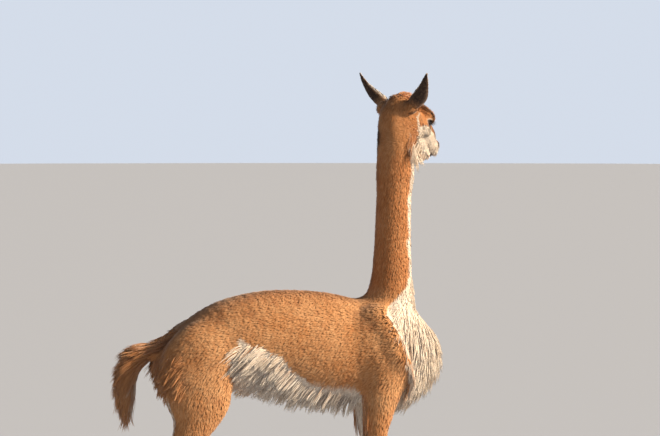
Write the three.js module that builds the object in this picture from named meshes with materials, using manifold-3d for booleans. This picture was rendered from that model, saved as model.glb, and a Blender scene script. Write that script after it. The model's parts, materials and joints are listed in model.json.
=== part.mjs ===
// A standing vicuna at life size, in millimetres, Z up. The head end points along -Y and the
// animal's left side along +X. The model stands on Z = 0, and its origin is under the middle of its box.
import * as THREE from "three";
import { mergeVertices } from "three/addons/utils/BufferGeometryUtils.js";
import Module from "manifold-3d";

const wasm = await Module();
wasm.setup();

// Driving sizes. A place is [side, fore, up]: to the left of the middle, ahead of the middle of the
// trunk, and above the floor. A way is the same, as a direction.
const gap = 0.3; // left between two nodes that meet
const headPlace = [6, 305, 1478]; // the back of the skull
const headTurn = 34; // degrees to the animal's left
const headNod = 40; // degrees down
const eyePlace = [37, 121, 16]; // in the head's own frame, on the left
const eyeRadius = 17;
const lidThickness = 2;
const eyeOpening = [14.5, 9.5]; // half its length and half its height
const earPlace = [55, 17, -4]; // in the head's own frame, on the left
const earReach = [89, -26, 107]; // from its middle at the root to its tip, turned with the head but not nodding
const earFacing = [-0.5, 1, 0]; // the way its opening looks, before it is set square to the reach
const earBow = [15, 4, 0]; // how far its middle stands out from that line
const earThickness = 5;
const legSide = 84; // of each leg's middle
const toeSpread = 14; // of a toe from the middle of its foot
const barrelEnds = [150, -238];
const neckCut = { place: [0, 290, 812], way: [0, 0.62, 1] };
const headCut = { place: [0, 304, 1375], way: [0.3, 0.75, 1] };
const tailCut = { place: [0, -494, 692], way: [0, -1, -0.3] };

// A station of a limb is [side, fore, up, half width, half depth], the depth across the limb's own line
const tailLine = [
  [0, -395, 694, 34, 34],
  [0, -460, 696, 31, 31],
  [0, -512, 686, 27, 28],
  [0, -548, 650, 24, 25],
  [0, -563, 600, 20, 22],
  [0, -568, 545, 12, 13],
];
const trunkLine = [
  [0, 368, 690, 58, 62],
  [0, 325, 686, 94, 116],
  [0, 250, 680, 114, 150],
  [0, 150, 688, 124, 172],
  [0, 30, 705, 132, 180],
  [0, -110, 722, 134, 168],
  [0, -230, 724, 130, 142],
  [0, -330, 698, 117, 112],
  [0, -395, 674, 92, 84],
  [0, -428, 664, 56, 52],
];
const neckLine = [
  [0, 250, 690, 84, 118],
  [0, 272, 780, 78, 100],
  [0, 284, 850, 67, 84],
  [0, 289, 930, 58, 68],
  [0, 292, 1040, 52, 62],
  [0, 295, 1150, 50, 60],
  [0, 300, 1270, 48, 60],
  [0, 303, 1370, 46, 56],
  [2, 303, 1430, 40, 48],
  [5, 312, 1472, 26, 30],
];
const foreleg = [
  [legSide, 262, 640, 44, 74],
  [legSide + 4, 240, 560, 44, 62],
  [legSide + 2, 228, 490, 35, 47],
  [legSide - 2, 226, 400, 26, 31],
  [legSide - 5, 228, 332, 24, 26],
  [legSide - 6, 232, 297, 26, 28],
  [legSide - 7, 227, 255, 21, 22],
  [legSide - 8, 224, 180, 17, 18],
  [legSide - 8, 225, 118, 19, 20],
  [legSide - 8, 229, 84, 22, 23],
  [legSide - 8, 236, 58, 21, 21],
];
const hindleg = [
  [legSide - 12, -340, 690, 48, 88],
  [legSide - 6, -350, 650, 54, 120],
  [legSide - 4, -345, 565, 48, 104],
  [legSide - 4, -355, 485, 37, 68],
  [legSide - 4, -388, 405, 26, 38],
  [legSide - 4, -412, 345, 24, 31],
  [legSide - 4, -410, 290, 20, 24],
  [legSide - 4, -404, 200, 17, 19],
  [legSide - 4, -400, 122, 19, 20],
  [legSide - 4, -395, 86, 22, 23],
  [legSide - 4, -388, 58, 21, 21],
];
const foreCuts = [[0, 0, 462], [0, 0, 283], [0, 0, 72]];
const hindCuts = [[0, 0, 492], [0, 0, 318], [0, 0, 72]];
const foreParts = ["forearm", "cannon", "foot"];
const hindParts = ["gaskin", "cannon", "foot"];
const legs = [
  { end: "fore", hand: 1, line: foreleg, step: 16, cuts: foreCuts, parts: foreParts },
  { end: "fore", hand: -1, line: foreleg, step: -10, cuts: foreCuts, parts: foreParts },
  { end: "hind", hand: 1, line: hindleg, step: 26, cuts: hindCuts, parts: hindParts },
  { end: "hind", hand: -1, line: hindleg, step: -14, cuts: hindCuts, parts: hindParts },
];

const coat = { fawn: 0xb98150, pale: 0xe9ddcc, face: 0xc79a6b, horn: 0x2a211d, eye: 0x140d0a, ear: 0x8a6547 };

// Numbers, places and frames
function at(side, fore, up) {
  return new THREE.Vector3(side, -fore, up);
}

function spread(low, high, count) {
  return Array.from({ length: count }, (_, i) => (count > 1 ? low + ((high - low) * i) / (count - 1) : low));
}

function seeded(seed) {
  let state = seed;
  return () => {
    state = (state * 1664525 + 1013904223) % 4294967296;
    return state / 4294967296;
  };
}

const radians = THREE.MathUtils.degToRad;
const lerp = THREE.MathUtils.lerp;
const sideways = new THREE.Vector3(1, 0, 0);
const down = new THREE.Vector3(0, 0, -1);
const yawOnly = new THREE.Matrix4().makeRotationZ(radians(headTurn));
const headFrame = new THREE.Matrix4()
  .makeTranslation(at(...headPlace))
  .multiply(yawOnly)
  .multiply(new THREE.Matrix4().makeRotationX(radians(headNod)));
const headInverse = headFrame.clone().invert();

// Fields: each gives about how far a point is outside a form, and less than 0 inside it
function limbField(stations, steps = 5) {
  const curve = new THREE.CatmullRomCurve3(stations.map(([s, f, u]) => at(s, f, u)));
  const girth = new THREE.CatmullRomCurve3(stations.map(([, , , w, d]) => new THREE.Vector3(w, d, 0)));
  const ts = spread(0, 1, (stations.length - 1) * steps + 1);
  const middle = ts.map((t) => curve.getPoint(t));
  const size = ts.map((t) => girth.getPoint(t));
  const along = new THREE.Vector3();
  const off = new THREE.Vector3();
  const across = new THREE.Vector3();
  return (p) => {
    let best = Infinity;
    for (let i = 0; i + 1 < middle.length; i++) {
      along.subVectors(middle[i + 1], middle[i]);
      off.subVectors(p, middle[i]);
      const t = THREE.MathUtils.clamp(off.dot(along) / along.lengthSq(), 0, 1);
      off.addScaledVector(along, -t);
      const wide = lerp(size[i].x, size[i + 1].x, t);
      const deep = lerp(size[i].y, size[i + 1].y, t);
      across.copy(sideways).addScaledVector(along, -along.x / along.lengthSq()).normalize();
      const reach = off.length();
      const s = off.dot(across);
      const rest = Math.sqrt(Math.max(reach * reach - s * s, 0));
      const share = Math.hypot(s / wide, rest / deep);
      best = Math.min(best, share > 1e-6 ? reach * (1 - 1 / share) : -Math.min(wide, deep));
    }
    return best;
  };
}

function ballField([side, fore, up], [wide, long, high], tilt = 0) {
  const back = new THREE.Matrix4().makeRotationX(radians(-tilt));
  const middle = at(side, fore, up);
  const local = new THREE.Vector3();
  return (p) => {
    local.subVectors(p, middle).applyMatrix4(back);
    const share = Math.hypot(local.x / wide, local.y / long, local.z / high);
    return share > 1e-6 ? local.length() * (1 - 1 / share) : -Math.min(wide, long, high);
  };
}

// Both sides of a body that is the same on its left and right
function mirrored(field) {
  const folded = new THREE.Vector3();
  return (p) => field(folded.set(Math.abs(p.x), p.y, p.z));
}

// The union of fields with its inner corners rounded over about `soft` millimetres
function blend(soft, ...fields) {
  return (p) => {
    let d = fields[0](p);
    for (let i = 1; i < fields.length; i++) {
      const e = fields[i](p);
      const h = Math.max(soft - Math.abs(d - e), 0) / soft;
      d = Math.min(d, e) - (h * h * soft) / 4;
    }
    return d;
  };
}

function inset(field, by) {
  return (p) => field(p) + by;
}

// A stance puts each leg a little ahead or behind, all of it from the knee or hock down
function legStations({ line, hand, step }) {
  const knee = line.length / 2;
  return line.map(([s, f, u, w, d], i) => [hand * s, f + step * Math.min(i / knee, 1), u, w, d]);
}

const legFields = legs.map((leg) => limbField(legStations(leg)));
const thighAndArm = legs.map((leg) => inset(limbField(legStations(leg).slice(0, 3)), 2));
const hocks = legs
  .filter((leg) => leg.end === "hind")
  .map(({ hand, step }) => limbField([
    [hand * (legSide - 4), -398 + step, 455, 12, 13],
    [hand * (legSide - 4), -428 + step, 400, 10, 11],
    [hand * (legSide - 4), -444 + step, 362, 12, 13],
  ]));

const trunk = limbField(trunkLine);
const neck = limbField(neckLine);
const shoulder = mirrored(ballField([76, 240, 690], [48, 84, 136], -18));
const breast = ballField([0, 345, 668], [80, 60, 110], 8);
const haunch = mirrored(ballField([66, -322, 700], [56, 96, 80]));
const tailCore = limbField(tailLine);

const torso = blend(46, trunk, shoulder, breast, haunch, ...thighAndArm);
const torsoAndNeck = blend(52, torso, neck);

// The head in its own frame, where it looks along its own -Y
const headLocal = mirrored(
  blend(
    15,
    ballField([0, 42, 8], [50, 58, 46]),
    ballField([51, 18, -8], [25, 24, 24]),
    ballField([0, 92, 25], [42, 48, 36]),
    ballField([35, 117, 34], [21, 29, 15]),
    ballField([34, 120, 15], [20, 25, 19]),
    ballField([28, 84, -24], [28, 54, 42], 8),
    ballField([36, 116, -6], [18, 38, 18]),
    limbField([[0, 104, 6, 40, 38], [0, 152, 3, 34, 34], [0, 200, -3, 28, 27], [0, 222, -6, 24, 21]]),
    limbField([[12, 52, -48, 23, 25], [11, 120, -47, 21, 22], [6, 190, -39, 16, 16], [2, 214, -39, 13, 13]]),
    ballField([0, 228, 3], [22, 17, 16]),
    ballField([11, 228, -12], [14, 16, 13]),
  ),
);
const toHead = new THREE.Vector3();
const head = (p) => headLocal(toHead.copy(p).applyMatrix4(headInverse));
const throat = blend(30, inset(head, 3), neck);

// Rays: how far a form reaches from a point inside it
function reachOf(field, from, way, most) {
  const p = new THREE.Vector3();
  const inside = (r) => field(p.copy(way).multiplyScalar(r).add(from)) < 0;
  let low = 0;
  const stride = 6;
  while (low < most && inside(low + stride)) low += stride;
  if (low >= most) return most;
  let high = low + stride;
  for (let i = 0; i < 12; i++) {
    const half = (low + high) / 2;
    if (inside(half)) low = half;
    else high = half;
  }
  return low;
}

function normalOf(field, p) {
  const e = 1.5;
  const q = new THREE.Vector3();
  const rise = (x, y, z) =>
    field(q.set(p.x + x, p.y + y, p.z + z)) - field(q.set(p.x - x, p.y - y, p.z - z));
  return new THREE.Vector3(rise(e, 0, 0), rise(0, e, 0), rise(0, 0, e)).normalize();
}

function surfaceAt(field, from, way) {
  const direction = way.clone().normalize();
  const place = from.clone().addScaledVector(direction, reachOf(field, from, direction, 600));
  return { place, normal: normalOf(field, place) };
}

// A closed surface over rings of points, all with the same number of points, ending in two poles
function closedRings(rings, firstPole, lastPole) {
  const sides = rings[0].length;
  const points = [...rings.flat(), firstPole, lastPole];
  const index = [];
  for (let i = 0; i + 1 < rings.length; i++) {
    for (let j = 0; j < sides; j++) {
      const k = (j + 1) % sides;
      const [a, b, c, d] = [i * sides + j, i * sides + k, (i + 1) * sides + k, (i + 1) * sides + j];
      index.push(a, b, c, a, c, d);
    }
  }
  const last = (rings.length - 1) * sides;
  for (let j = 0; j < sides; j++) {
    const k = (j + 1) % sides;
    index.push(points.length - 2, k, j, points.length - 1, last + j, last + k);
  }
  const geometry = new THREE.BufferGeometry().setFromPoints(points);
  geometry.setIndex(index);
  return geometry;
}

// A closed skin over a field: rays go out from an axis in rings. `ends` gathers rings at both ends.
function castSkin(field, axis, { rings, sides, reach, ends = 0 }) {
  const made = spread(0, 1, rings).map((even) => {
    const t = lerp(even, (1 - Math.cos(Math.PI * even)) / 2, ends);
    const middle = axis.getPoint(t);
    const along = axis.getTangent(t);
    const across = sideways.clone().addScaledVector(along, -along.x).normalize();
    const upwards = new THREE.Vector3().crossVectors(along, across);
    const most = typeof reach === "function" ? reach(t) : reach;
    return spread(0, 2 * Math.PI, sides + 1).slice(0, sides).map((angle) => {
      const way = across.clone().multiplyScalar(Math.cos(angle)).addScaledVector(upwards, Math.sin(angle));
      return middle.clone().addScaledVector(way, reachOf(field, middle, way, most));
    });
  });
  const pole = (t, sign) => {
    const way = axis.getTangent(t).multiplyScalar(sign);
    return axis.getPoint(t).addScaledVector(way, reachOf(field, axis.getPoint(t), way, 90));
  };
  return closedRings(made, pole(0, -1), pole(1, 1));
}

function line(...places) {
  return new THREE.CatmullRomCurve3(places.map(([side, fore, up]) => at(side, fore, up)));
}

// Solids
function solidOf(geometry) {
  const plain = geometry.clone();
  plain.deleteAttribute("normal");
  plain.deleteAttribute("uv");
  const merged = mergeVertices(plain, 1e-4);
  const vertProperties = merged.attributes.position.array;
  const triVerts = new Uint32Array(merged.index.array);
  const made = new wasm.Manifold(new wasm.Mesh({ numProp: 3, vertProperties, triVerts }));
  if (made.volume() > 0) return made;
  for (let i = 0; i < triVerts.length; i += 3) {
    [triVerts[i + 1], triVerts[i + 2]] = [triVerts[i + 2], triVerts[i + 1]];
  }
  return new wasm.Manifold(new wasm.Mesh({ numProp: 3, vertProperties, triVerts }));
}

function joined(solids) {
  let left = solids;
  while (left.length > 1) {
    left = left.flatMap((s, i) => (i % 2 ? [] : [i + 1 < left.length ? s.add(left[i + 1]) : s]));
  }
  return left[0];
}

function largest(solid) {
  return solid.decompose().reduce((a, b) => (a.volume() > b.volume() ? a : b));
}

// The part of a solid ahead of a cut, along its way, or behind it. Half the gap is lost on each side.
function ahead(solid, { place, way }) {
  const normal = at(...way).normalize();
  return solid.trimByPlane(normal.toArray(), normal.dot(at(...place)) + gap / 2);
}

function behind(solid, { place, way }) {
  return ahead(solid, { place, way: way.map((value) => -value) });
}

const above = (solid) => solid.trimByPlane([0, 0, 1], 0);

// Moves a geometry so that its own Y axis runs along `way` and its origin lies at `place`
function aimed(geometry, place, way) {
  const turn = new THREE.Quaternion().setFromUnitVectors(new THREE.Vector3(0, 1, 0), way.clone().normalize());
  return geometry.applyQuaternion(turn).translate(place.x, place.y, place.z);
}

function disc(place, way, radius) {
  return solidOf(aimed(new THREE.CylinderGeometry(radius, radius, gap, 20), place, way));
}

function ballSolid(place, radius, around) {
  return solidOf(new THREE.SphereGeometry(radius, around, around / 2).translate(place.x, place.y, place.z));
}

// The piece of a solid that holds a place
function pieceAt(pieces, place) {
  const probe = solidOf(new THREE.BoxGeometry(2, 2, 2).translate(place.x, place.y, place.z));
  const found = pieces.find((piece) => piece.intersect(probe).volume() > 0);
  if (!found) throw new Error("no piece at " + place.toArray().map(Math.round));
  return found;
}

// Legs and feet
function legSolid(leg, field) {
  const axis = line(...legStations(leg).slice(1));
  const reach = (t) => lerp(112, 44, Math.min(t * 3, 1));
  return solidOf(castSkin(field, axis, { rings: 20, sides: 11, reach }));
}

function toeLine(leg, hand) {
  const [side, fore] = legStations(leg).at(-1);
  const middle = side + hand * toeSpread;
  return [
    [side + hand * 7, fore - 6, 58, 14, 19],
    [middle - hand * 2, fore + 2, 34, 15, 24],
    [middle, fore + 26, 20, 14, 20],
    [middle + hand * 1.5, fore + 52, 14, 12, 15],
  ];
}

function nailLine(leg, hand) {
  const [side, fore] = toeLine(leg, hand).at(-1);
  return [
    [side, fore - 6, 15, 7, 8],
    [side, fore + 10, 13, 6.5, 8],
    [side, fore + 24, 6.5, 3.4, 4],
  ];
}

function limbSolid(stations, { rings, sides, grown = 0 }) {
  return solidOf(castSkin(inset(limbField(stations), -grown), line(...stations), { rings, sides, reach: 90 }));
}

function footParts(leg) {
  return [1, -1].map((hand) => ({
    hand,
    toe: limbSolid(toeLine(leg, hand), { rings: 6, sides: 7 }),
    nail: above(limbSolid(nailLine(leg, hand), { rings: 4, sides: 6 })),
    socket: limbSolid(nailLine(leg, hand), { rings: 4, sides: 6, grown: gap }),
  }));
}

// Ears: a leaf that is rolled into a cup, open forwards and outwards
const earWidth = new THREE.SplineCurve([
  [0, 17], [0.16, 23], [0.36, 23.5], [0.6, 19], [0.82, 12], [0.95, 5], [1, 1.4],
].map(([t, w]) => new THREE.Vector2(t, w)));

function earSolid(hand) {
  const turned = (side, fore, up) => at(hand * side, fore, up).applyMatrix4(yawOnly);
  const root = at(hand * earPlace[0], earPlace[1], earPlace[2]).applyMatrix4(headFrame);
  const reach = turned(...earReach);
  const axis = reach.clone().normalize();
  const facing = turned(...earFacing).projectOnPlane(axis).normalize();
  const across = new THREE.Vector3().crossVectors(axis, facing);
  const bow = turned(...earBow).projectOnPlane(axis);
  const rings = spread(0, 1, 8).map((t) => {
    const half = earWidth.getPoint(t).y;
    const roll = radians(lerp(105, 48, Math.min(t * 1.15, 1)));
    const thick = earThickness * lerp(1, 0.45, t);
    const middle = root.clone().addScaledVector(reach, t).addScaledVector(bow, Math.sin(Math.PI * t));
    const arc = (angle, radius) =>
      middle.clone()
        .addScaledVector(across, Math.sin(angle) * radius)
        .addScaledVector(facing, half * 0.35 - Math.cos(angle) * radius);
    const outer = spread(-roll, roll, 8).map((a) => arc(a, half));
    const inner = spread(roll * 0.94, -roll * 0.94, 6).map((a) => arc(a, Math.max(half - thick, half * 0.45)));
    return [...outer, ...inner];
  });
  const centre = (ring) => ring.reduce((sum, p) => sum.add(p), new THREE.Vector3()).divideScalar(ring.length);
  const foot = root.clone().addScaledVector(reach, -0.06);
  const plug = castSkin(ballField([0, 0, 0], [15, 15, 15]), line([0, 0, -6], [0, 0, 6]), {
    rings: 5, sides: 10, reach: 40,
  });
  plug.translate(foot.x, foot.y, foot.z);
  rings[0] = rings[0].map((p) => p.lerp(centre(rings[0]), 0.05));
  const middle = [3, 4, 10, 11].map((i) => rings[4][i]);
  return {
    solid: solidOf(closedRings(rings, centre(rings[0]), root.clone().addScaledVector(reach, 1.03))).add(solidOf(plug)),
    cut: disc(root.clone().addScaledVector(reach, 0.19), axis, 36),
    inside: centre(middle),
  };
}

// Locks of hair: flat, tapered and bent along the lie of the coat, with a sunk root
function lockSolid({ place, normal }, lie, { length, width, thick, lift = 25, droop = 0.25, sink = 7 }) {
  const along = lie.clone().projectOnPlane(normal).normalize();
  const across = new THREE.Vector3().crossVectors(normal, along);
  const rise = along.clone().multiplyScalar(Math.cos(radians(lift)));
  rise.addScaledVector(normal, Math.sin(radians(lift)));
  const root = place.clone().addScaledVector(normal, -sink);
  const bend = place.clone().addScaledVector(rise, length * 0.5);
  const tip = bend.clone().addScaledVector(along, length * 0.5).addScaledVector(down, length * droop);
  const path = new THREE.QuadraticBezierCurve3(root, bend, tip);
  const rings = [0.75, 1, 0.7].map((share, i) => {
    const middle = path.getPoint(i * 0.36);
    const out = new THREE.Vector3().crossVectors(path.getTangent(i * 0.36), across).normalize();
    const corner = (a, b) =>
      middle.clone().addScaledVector(across, (a * width * share) / 2).addScaledVector(out, (b * thick) / 2);
    return [corner(1, 0), corner(0, 1), corner(-1, 0), corner(0, -1)];
  });
  return solidOf(closedRings(rings, path.getPoint(0), path.getPoint(1)));
}

function bibLocks() {
  const random = seeded(11);
  const made = [];
  for (const [row, up] of spread(760, 560, 6).entries()) {
    const count = 4 + (row % 2);
    for (const turn of spread(-62, 62, count)) {
      const angle = radians(turn + 6 * (random() - 0.5));
      const from = at(0, 290, up + 12 * (random() - 0.5));
      const spot = surfaceAt(torso, from, at(Math.sin(angle), Math.cos(angle), 0));
      const lie = at(0.25 * Math.sin(angle), -0.1, -1);
      const length = lerp(70, 92, row / 5) * (0.88 + 0.24 * random());
      made.push(lockSolid(spot, lie, { length, width: 34, thick: 9, lift: 18, droop: 0.3, sink: 9 }));
    }
  }
  return made;
}

function fringeLocks(low, high, count, seed) {
  const random = seeded(seed);
  const made = [];
  for (const hand of [1, -1]) {
    for (const tier of [0, 1]) {
      for (const fore of spread(low, high, count)) {
        const from = at(0, fore + (tier ? 10 : -10) + 12 * (random() - 0.5), 680);
        const slope = (tier ? -1.05 : -1.9) + 0.3 * random();
        const spot = surfaceAt(torso, from, at(hand, 0, slope));
        const length = lerp(46, 72, random());
        const lie = at(0.15 * hand, -0.55 + 0.3 * random(), -1);
        made.push(lockSolid(spot, lie, { length, width: 38, thick: 8, lift: 10 }));
      }
    }
  }
  return made;
}

// The long hair in the fold between the barrel and the thigh
function flankLocks() {
  const random = seeded(41);
  const made = [];
  for (const hand of [1, -1]) {
    for (const [row, up] of spread(706, 596, 3).entries()) {
      for (const fore of [-206, -176, -146].slice(row ? 0 : 1)) {
        const place = fore + 12 * (random() - 0.5);
        const spot = surfaceAt(torso, at(0, place, up + 14 * (random() - 0.5)), at(hand, 0, 0));
        const length = lerp(60, 80, random());
        made.push(lockSolid(spot, at(0, 0.25, -1), { length, width: 30, thick: 8, lift: 15, droop: 0.2 }));
      }
    }
  }
  return made;
}

function tailLocks() {
  const random = seeded(29);
  const axis = line(...tailLine);
  const made = [];
  for (const [row, t] of spread(0.42, 0.97, 5).entries()) {
    const middle = axis.getPoint(t);
    const along = axis.getTangent(t);
    const upwards = new THREE.Vector3().crossVectors(along, sideways).normalize();
    for (const angle of spread(0, 2 * Math.PI, 7).slice(0, 6)) {
      const a = angle + row * 0.45 + 0.2 * (random() - 0.5);
      const way = sideways.clone().multiplyScalar(Math.cos(a)).addScaledVector(upwards, Math.sin(a));
      const spot = surfaceAt(tailCore, middle, way);
      const length = lerp(76, 96, row / 4) * (0.9 + 0.2 * random());
      made.push(lockSolid(spot, along, { length, width: 28, thick: 9, lift: 32, droop: 0.1, sink: 7 }));
    }
  }
  return made;
}

function crownLocks() {
  const random = seeded(5);
  const made = [];
  for (const [row, fore] of spread(2, 56, 5).entries()) {
    for (const side of spread(-22, 22, row % 2 ? 3 : 4)) {
      const from = at(side * 0.4, fore, 0).applyMatrix4(headFrame);
      const way = at(side * 0.6 + 6 * (random() - 0.5), 0, 45).applyMatrix4(headFrame).sub(at(...headPlace));
      const spot = surfaceAt(head, from, way);
      const lie = at(side * 0.03, 0.5 + 0.5 * random(), -0.1).applyMatrix4(yawOnly);
      const length = 34 * (0.85 + 0.3 * random());
      made.push(lockSolid(spot, lie, { length, width: 26, thick: 9, lift: 38, droop: 0, sink: 6 }));
    }
  }
  return made;
}

// The loose pale hair that hangs under the jaw and the throat
function jawLocks() {
  const random = seeded(23);
  const made = [];
  for (const [row, fore] of spread(62, 204, 7).entries()) {
    for (const side of row % 2 ? [-1, 1] : [-1.2, 0, 1.2]) {
      const from = at(side * 7, fore + 8 * (random() - 0.5), -30).applyMatrix4(headFrame);
      const way = at(side * 0.8, 0, -1).applyMatrix4(headFrame).sub(at(...headPlace));
      const spot = surfaceAt(head, from, way);
      const lie = at(side * 0.1, -0.8, -1).applyMatrix4(yawOnly);
      const length = lerp(54, 34, row / 6) * (0.9 + 0.2 * random());
      made.push(lockSolid(spot, lie, { length, width: 24, thick: 8, lift: 30, droop: 0.3, sink: 6 }));
    }
  }
  return made;
}

function buttockLocks() {
  const random = seeded(17);
  const made = [];
  for (const hand of [1, -1]) {
    for (const up of spread(690, 610, 3)) {
      for (const turn of [-22, 6]) {
        const angle = radians(turn + 8 * (random() - 0.5));
        const from = at(hand * 66, -345, up);
        const spot = surfaceAt(torso, from, at(-hand * Math.sin(angle) * 0.8, -Math.cos(angle), 0));
        const length = lerp(46, 60, random());
        made.push(lockSolid(spot, at(0, -0.1, -1), { length, width: 26, thick: 8, lift: 22, droop: 0.1 }));
      }
    }
  }
  return made;
}

// The head's cuts: sockets, lid openings, mouth, lip cleft and nostrils
function inHead(geometry) {
  return solidOf(geometry.applyMatrix4(headFrame));
}

function headCuts() {
  const core = castSkin(inset(headLocal, 5), line([0, 20, 0], [0, 120, -6], [0, 214, -12]), {
    rings: 16, sides: 16, reach: 90,
  });
  const lip = new THREE.SplineCurve([
    [257, -22], [237, -24.5], [212, -25], [192, -22], [172, -15],
  ].map(([f, u]) => new THREE.Vector2(f, u)));
  const edge = (rise) => lip.getPoints(7).map((p, i) => new THREE.Vector2(p.x, p.y + rise * (1.4 - i * 0.1)));
  const band = new THREE.Shape([...edge(1), ...edge(-1).reverse()]);
  const blade = new THREE.ExtrudeGeometry(band, { depth: 120, bevelEnabled: false });
  // The outline's own X is fore and its Y is up, and it is drawn out sideways
  blade.applyMatrix4(new THREE.Matrix4().set(0, 0, 1, -60, -1, 0, 0, 0, 0, 1, 0, 0, 0, 0, 0, 1));
  const mouth = inHead(blade).subtract(inHead(core));
  const cleft = inHead(new THREE.BoxGeometry(2, 8, 18).translate(0, -244, -13));
  const nostrils = [1, -1].map((hand) => {
    const slit = new THREE.SphereGeometry(1, 10, 6).scale(2.6, 6, 7.5).rotateY(radians(hand * 38));
    return inHead(slit.translate(hand * 12, -241, 3));
  });
  return joined([mouth, cleft, ...nostrils]);
}

function eyeOf(hand) {
  const place = at(hand * eyePlace[0], eyePlace[1], eyePlace[2]);
  const look = at(hand * 0.9, 0.36, 0.1).normalize();
  const centre = place.clone().applyMatrix4(headFrame);
  const [long, high] = eyeOpening;
  const almond = new THREE.Shape();
  almond.moveTo(-long, -1);
  almond.quadraticCurveTo(-long * 0.3, high * 1.75, long, 1.5);
  almond.quadraticCurveTo(long * 0.2, -high * 1.55, -long, -1);
  const opening = new THREE.ExtrudeGeometry(almond, { depth: 34, bevelEnabled: false, curveSegments: 8 });
  const upright = new THREE.Vector3(0, 0, 1).projectOnPlane(look).normalize();
  const level = new THREE.Vector3().crossVectors(upright, look);
  opening.applyMatrix4(new THREE.Matrix4().makeBasis(level, upright, look).setPosition(place));
  return {
    ball: ballSolid(centre, eyeRadius, 16),
    lids: ballSolid(centre, eyeRadius + lidThickness, 16),
    socket: ballSolid(centre, eyeRadius + 2 * gap, 16),
    opening: inHead(opening),
  };
}

// Nodes
const model = new THREE.Group();

function addNode(name, solid, color, roughness = 0.85) {
  const mesh = largest(solid).getMesh();
  const geometry = new THREE.BufferGeometry();
  geometry.setAttribute("position", new THREE.BufferAttribute(mesh.vertProperties, 3));
  geometry.setIndex(new THREE.BufferAttribute(mesh.triVerts, 1));
  geometry.computeVertexNormals();
  const node = new THREE.Mesh(geometry, new THREE.MeshStandardMaterial({ color, roughness, metalness: 0 }));
  node.name = name;
  model.add(node);
}

// Trunk and neck
const trunkAxis = line([0, 392, 684], [0, 120, 690], [0, -150, 722], [0, -466, 672]);
const trunkSkin = solidOf(castSkin(torsoAndNeck, trunkAxis, { rings: 25, sides: 26, ends: 0.8, reach: 230 }));
const neckSkin = solidOf(castSkin(torsoAndNeck, line(...neckLine), {
  rings: 20, sides: 18, reach: (t) => lerp(190, 90, Math.min(t * 3, 1)),
}));
const legSkins = legs.map((leg, i) => legSolid(leg, blend(16, legFields[i], ...hocks)));
const levelCut = (place) => ({ place, way: [0, 0, 1] });
const legTops = legSkins.map((skin, i) => ahead(skin, levelCut(legs[i].cuts[0])));
const [front, back] = barrelEnds.map((fore) => ({ place: [0, fore, 0], way: [0, 1, 0] }));

const chest = joined([trunkSkin, ...legTops.slice(0, 2), ...bibLocks()]);
addNode("forequarters", ahead(behind(ahead(chest, front), neckCut), levelCut(foreCuts[0])), coat.fawn);
const barrelWhole = joined([trunkSkin, ...fringeLocks(-205, 125, 9, 3), ...flankLocks()]);
addNode("barrel", ahead(behind(barrelWhole, front), back), coat.fawn);
addNode("neck", behind(ahead(neckSkin, neckCut), headCut), coat.fawn);

const tailSkin = limbSolid(tailLine, { rings: 11, sides: 12 });
const rump = joined([trunkSkin, behind(tailSkin, tailCut), ...legTops.slice(2), ...buttockLocks()]);
addNode("hindquarters", ahead(behind(rump, back), levelCut(hindCuts[0])), coat.fawn);
addNode("tail", joined([ahead(tailSkin, tailCut), ...tailLocks().map((lock) => ahead(lock, tailCut))]), coat.fawn);

// Head
const headAxis = line([0, 0, 2], [0, 60, 2], [0, 130, -6], [0, 218, -12]);
const headSkin = inHead(castSkin(headLocal, headAxis, { rings: 26, sides: 26, ends: 0.5, reach: 120 }));
const throatSkin = solidOf(castSkin(throat, line([0, 301, 1290], [0, 303, 1370], [12, 326, 1450]), {
  rings: 10, sides: 20, ends: 0.6, reach: 84,
}));
const eyes = [1, -1].map(eyeOf);
const ears = [1, -1].map(earSolid);
const headWhole = joined([
  headSkin,
  ahead(throatSkin, headCut),
  ...crownLocks(),
  ...jawLocks(),
  ...eyes.map((eye) => eye.lids),
  ...ears.map((ear) => ear.solid),
]);
const opened = headWhole.subtract(joined([headCuts(), ...eyes.flatMap((eye) => [eye.socket, eye.opening])]));
const headPieces = ahead(opened, headCut).subtract(joined(ears.map((ear) => ear.cut))).decompose();
addNode("head", pieceAt(headPieces, at(0, 60, 0).applyMatrix4(headFrame)), coat.face);
["left", "right"].forEach((hand, i) => {
  addNode("ear_" + hand, pieceAt(headPieces, ears[i].inside), coat.ear);
  addNode("eye_" + hand, eyes[i].ball, coat.eye, 0.1);
});

// Legs below the trunk
legs.forEach((leg, i) => {
  const hand = leg.hand > 0 ? "left" : "right";
  const foot = footParts(leg);
  const whole = above(joined([legSkins[i], ...foot.map(({ toe }) => toe)]));
  const sockets = joined(foot.map(({ socket }) => socket));
  leg.parts.forEach((part, j) => {
    const below = behind(whole, levelCut(leg.cuts[j]));
    const piece = j < 2 ? ahead(below, levelCut(leg.cuts[j + 1])) : below.subtract(sockets);
    addNode([leg.end, "leg", hand, part].join("_"), piece, coat.fawn);
  });
  foot.forEach(({ nail, hand: side }) => {
    const place = side === leg.hand ? "outer" : "inner";
    addNode([leg.end, "leg", hand, "nail", place].join("_"), nail, coat.horn, 0.5);
  });
});

// The origin is on the floor, under the middle of the whole box
const middle = new THREE.Box3().setFromObject(model).getCenter(new THREE.Vector3());
model.position.set(-middle.x, -middle.y, 0);

export default model;
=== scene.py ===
import json
import math

import bmesh
import bpy
import numpy as np
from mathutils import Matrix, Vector, kdtree

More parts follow.
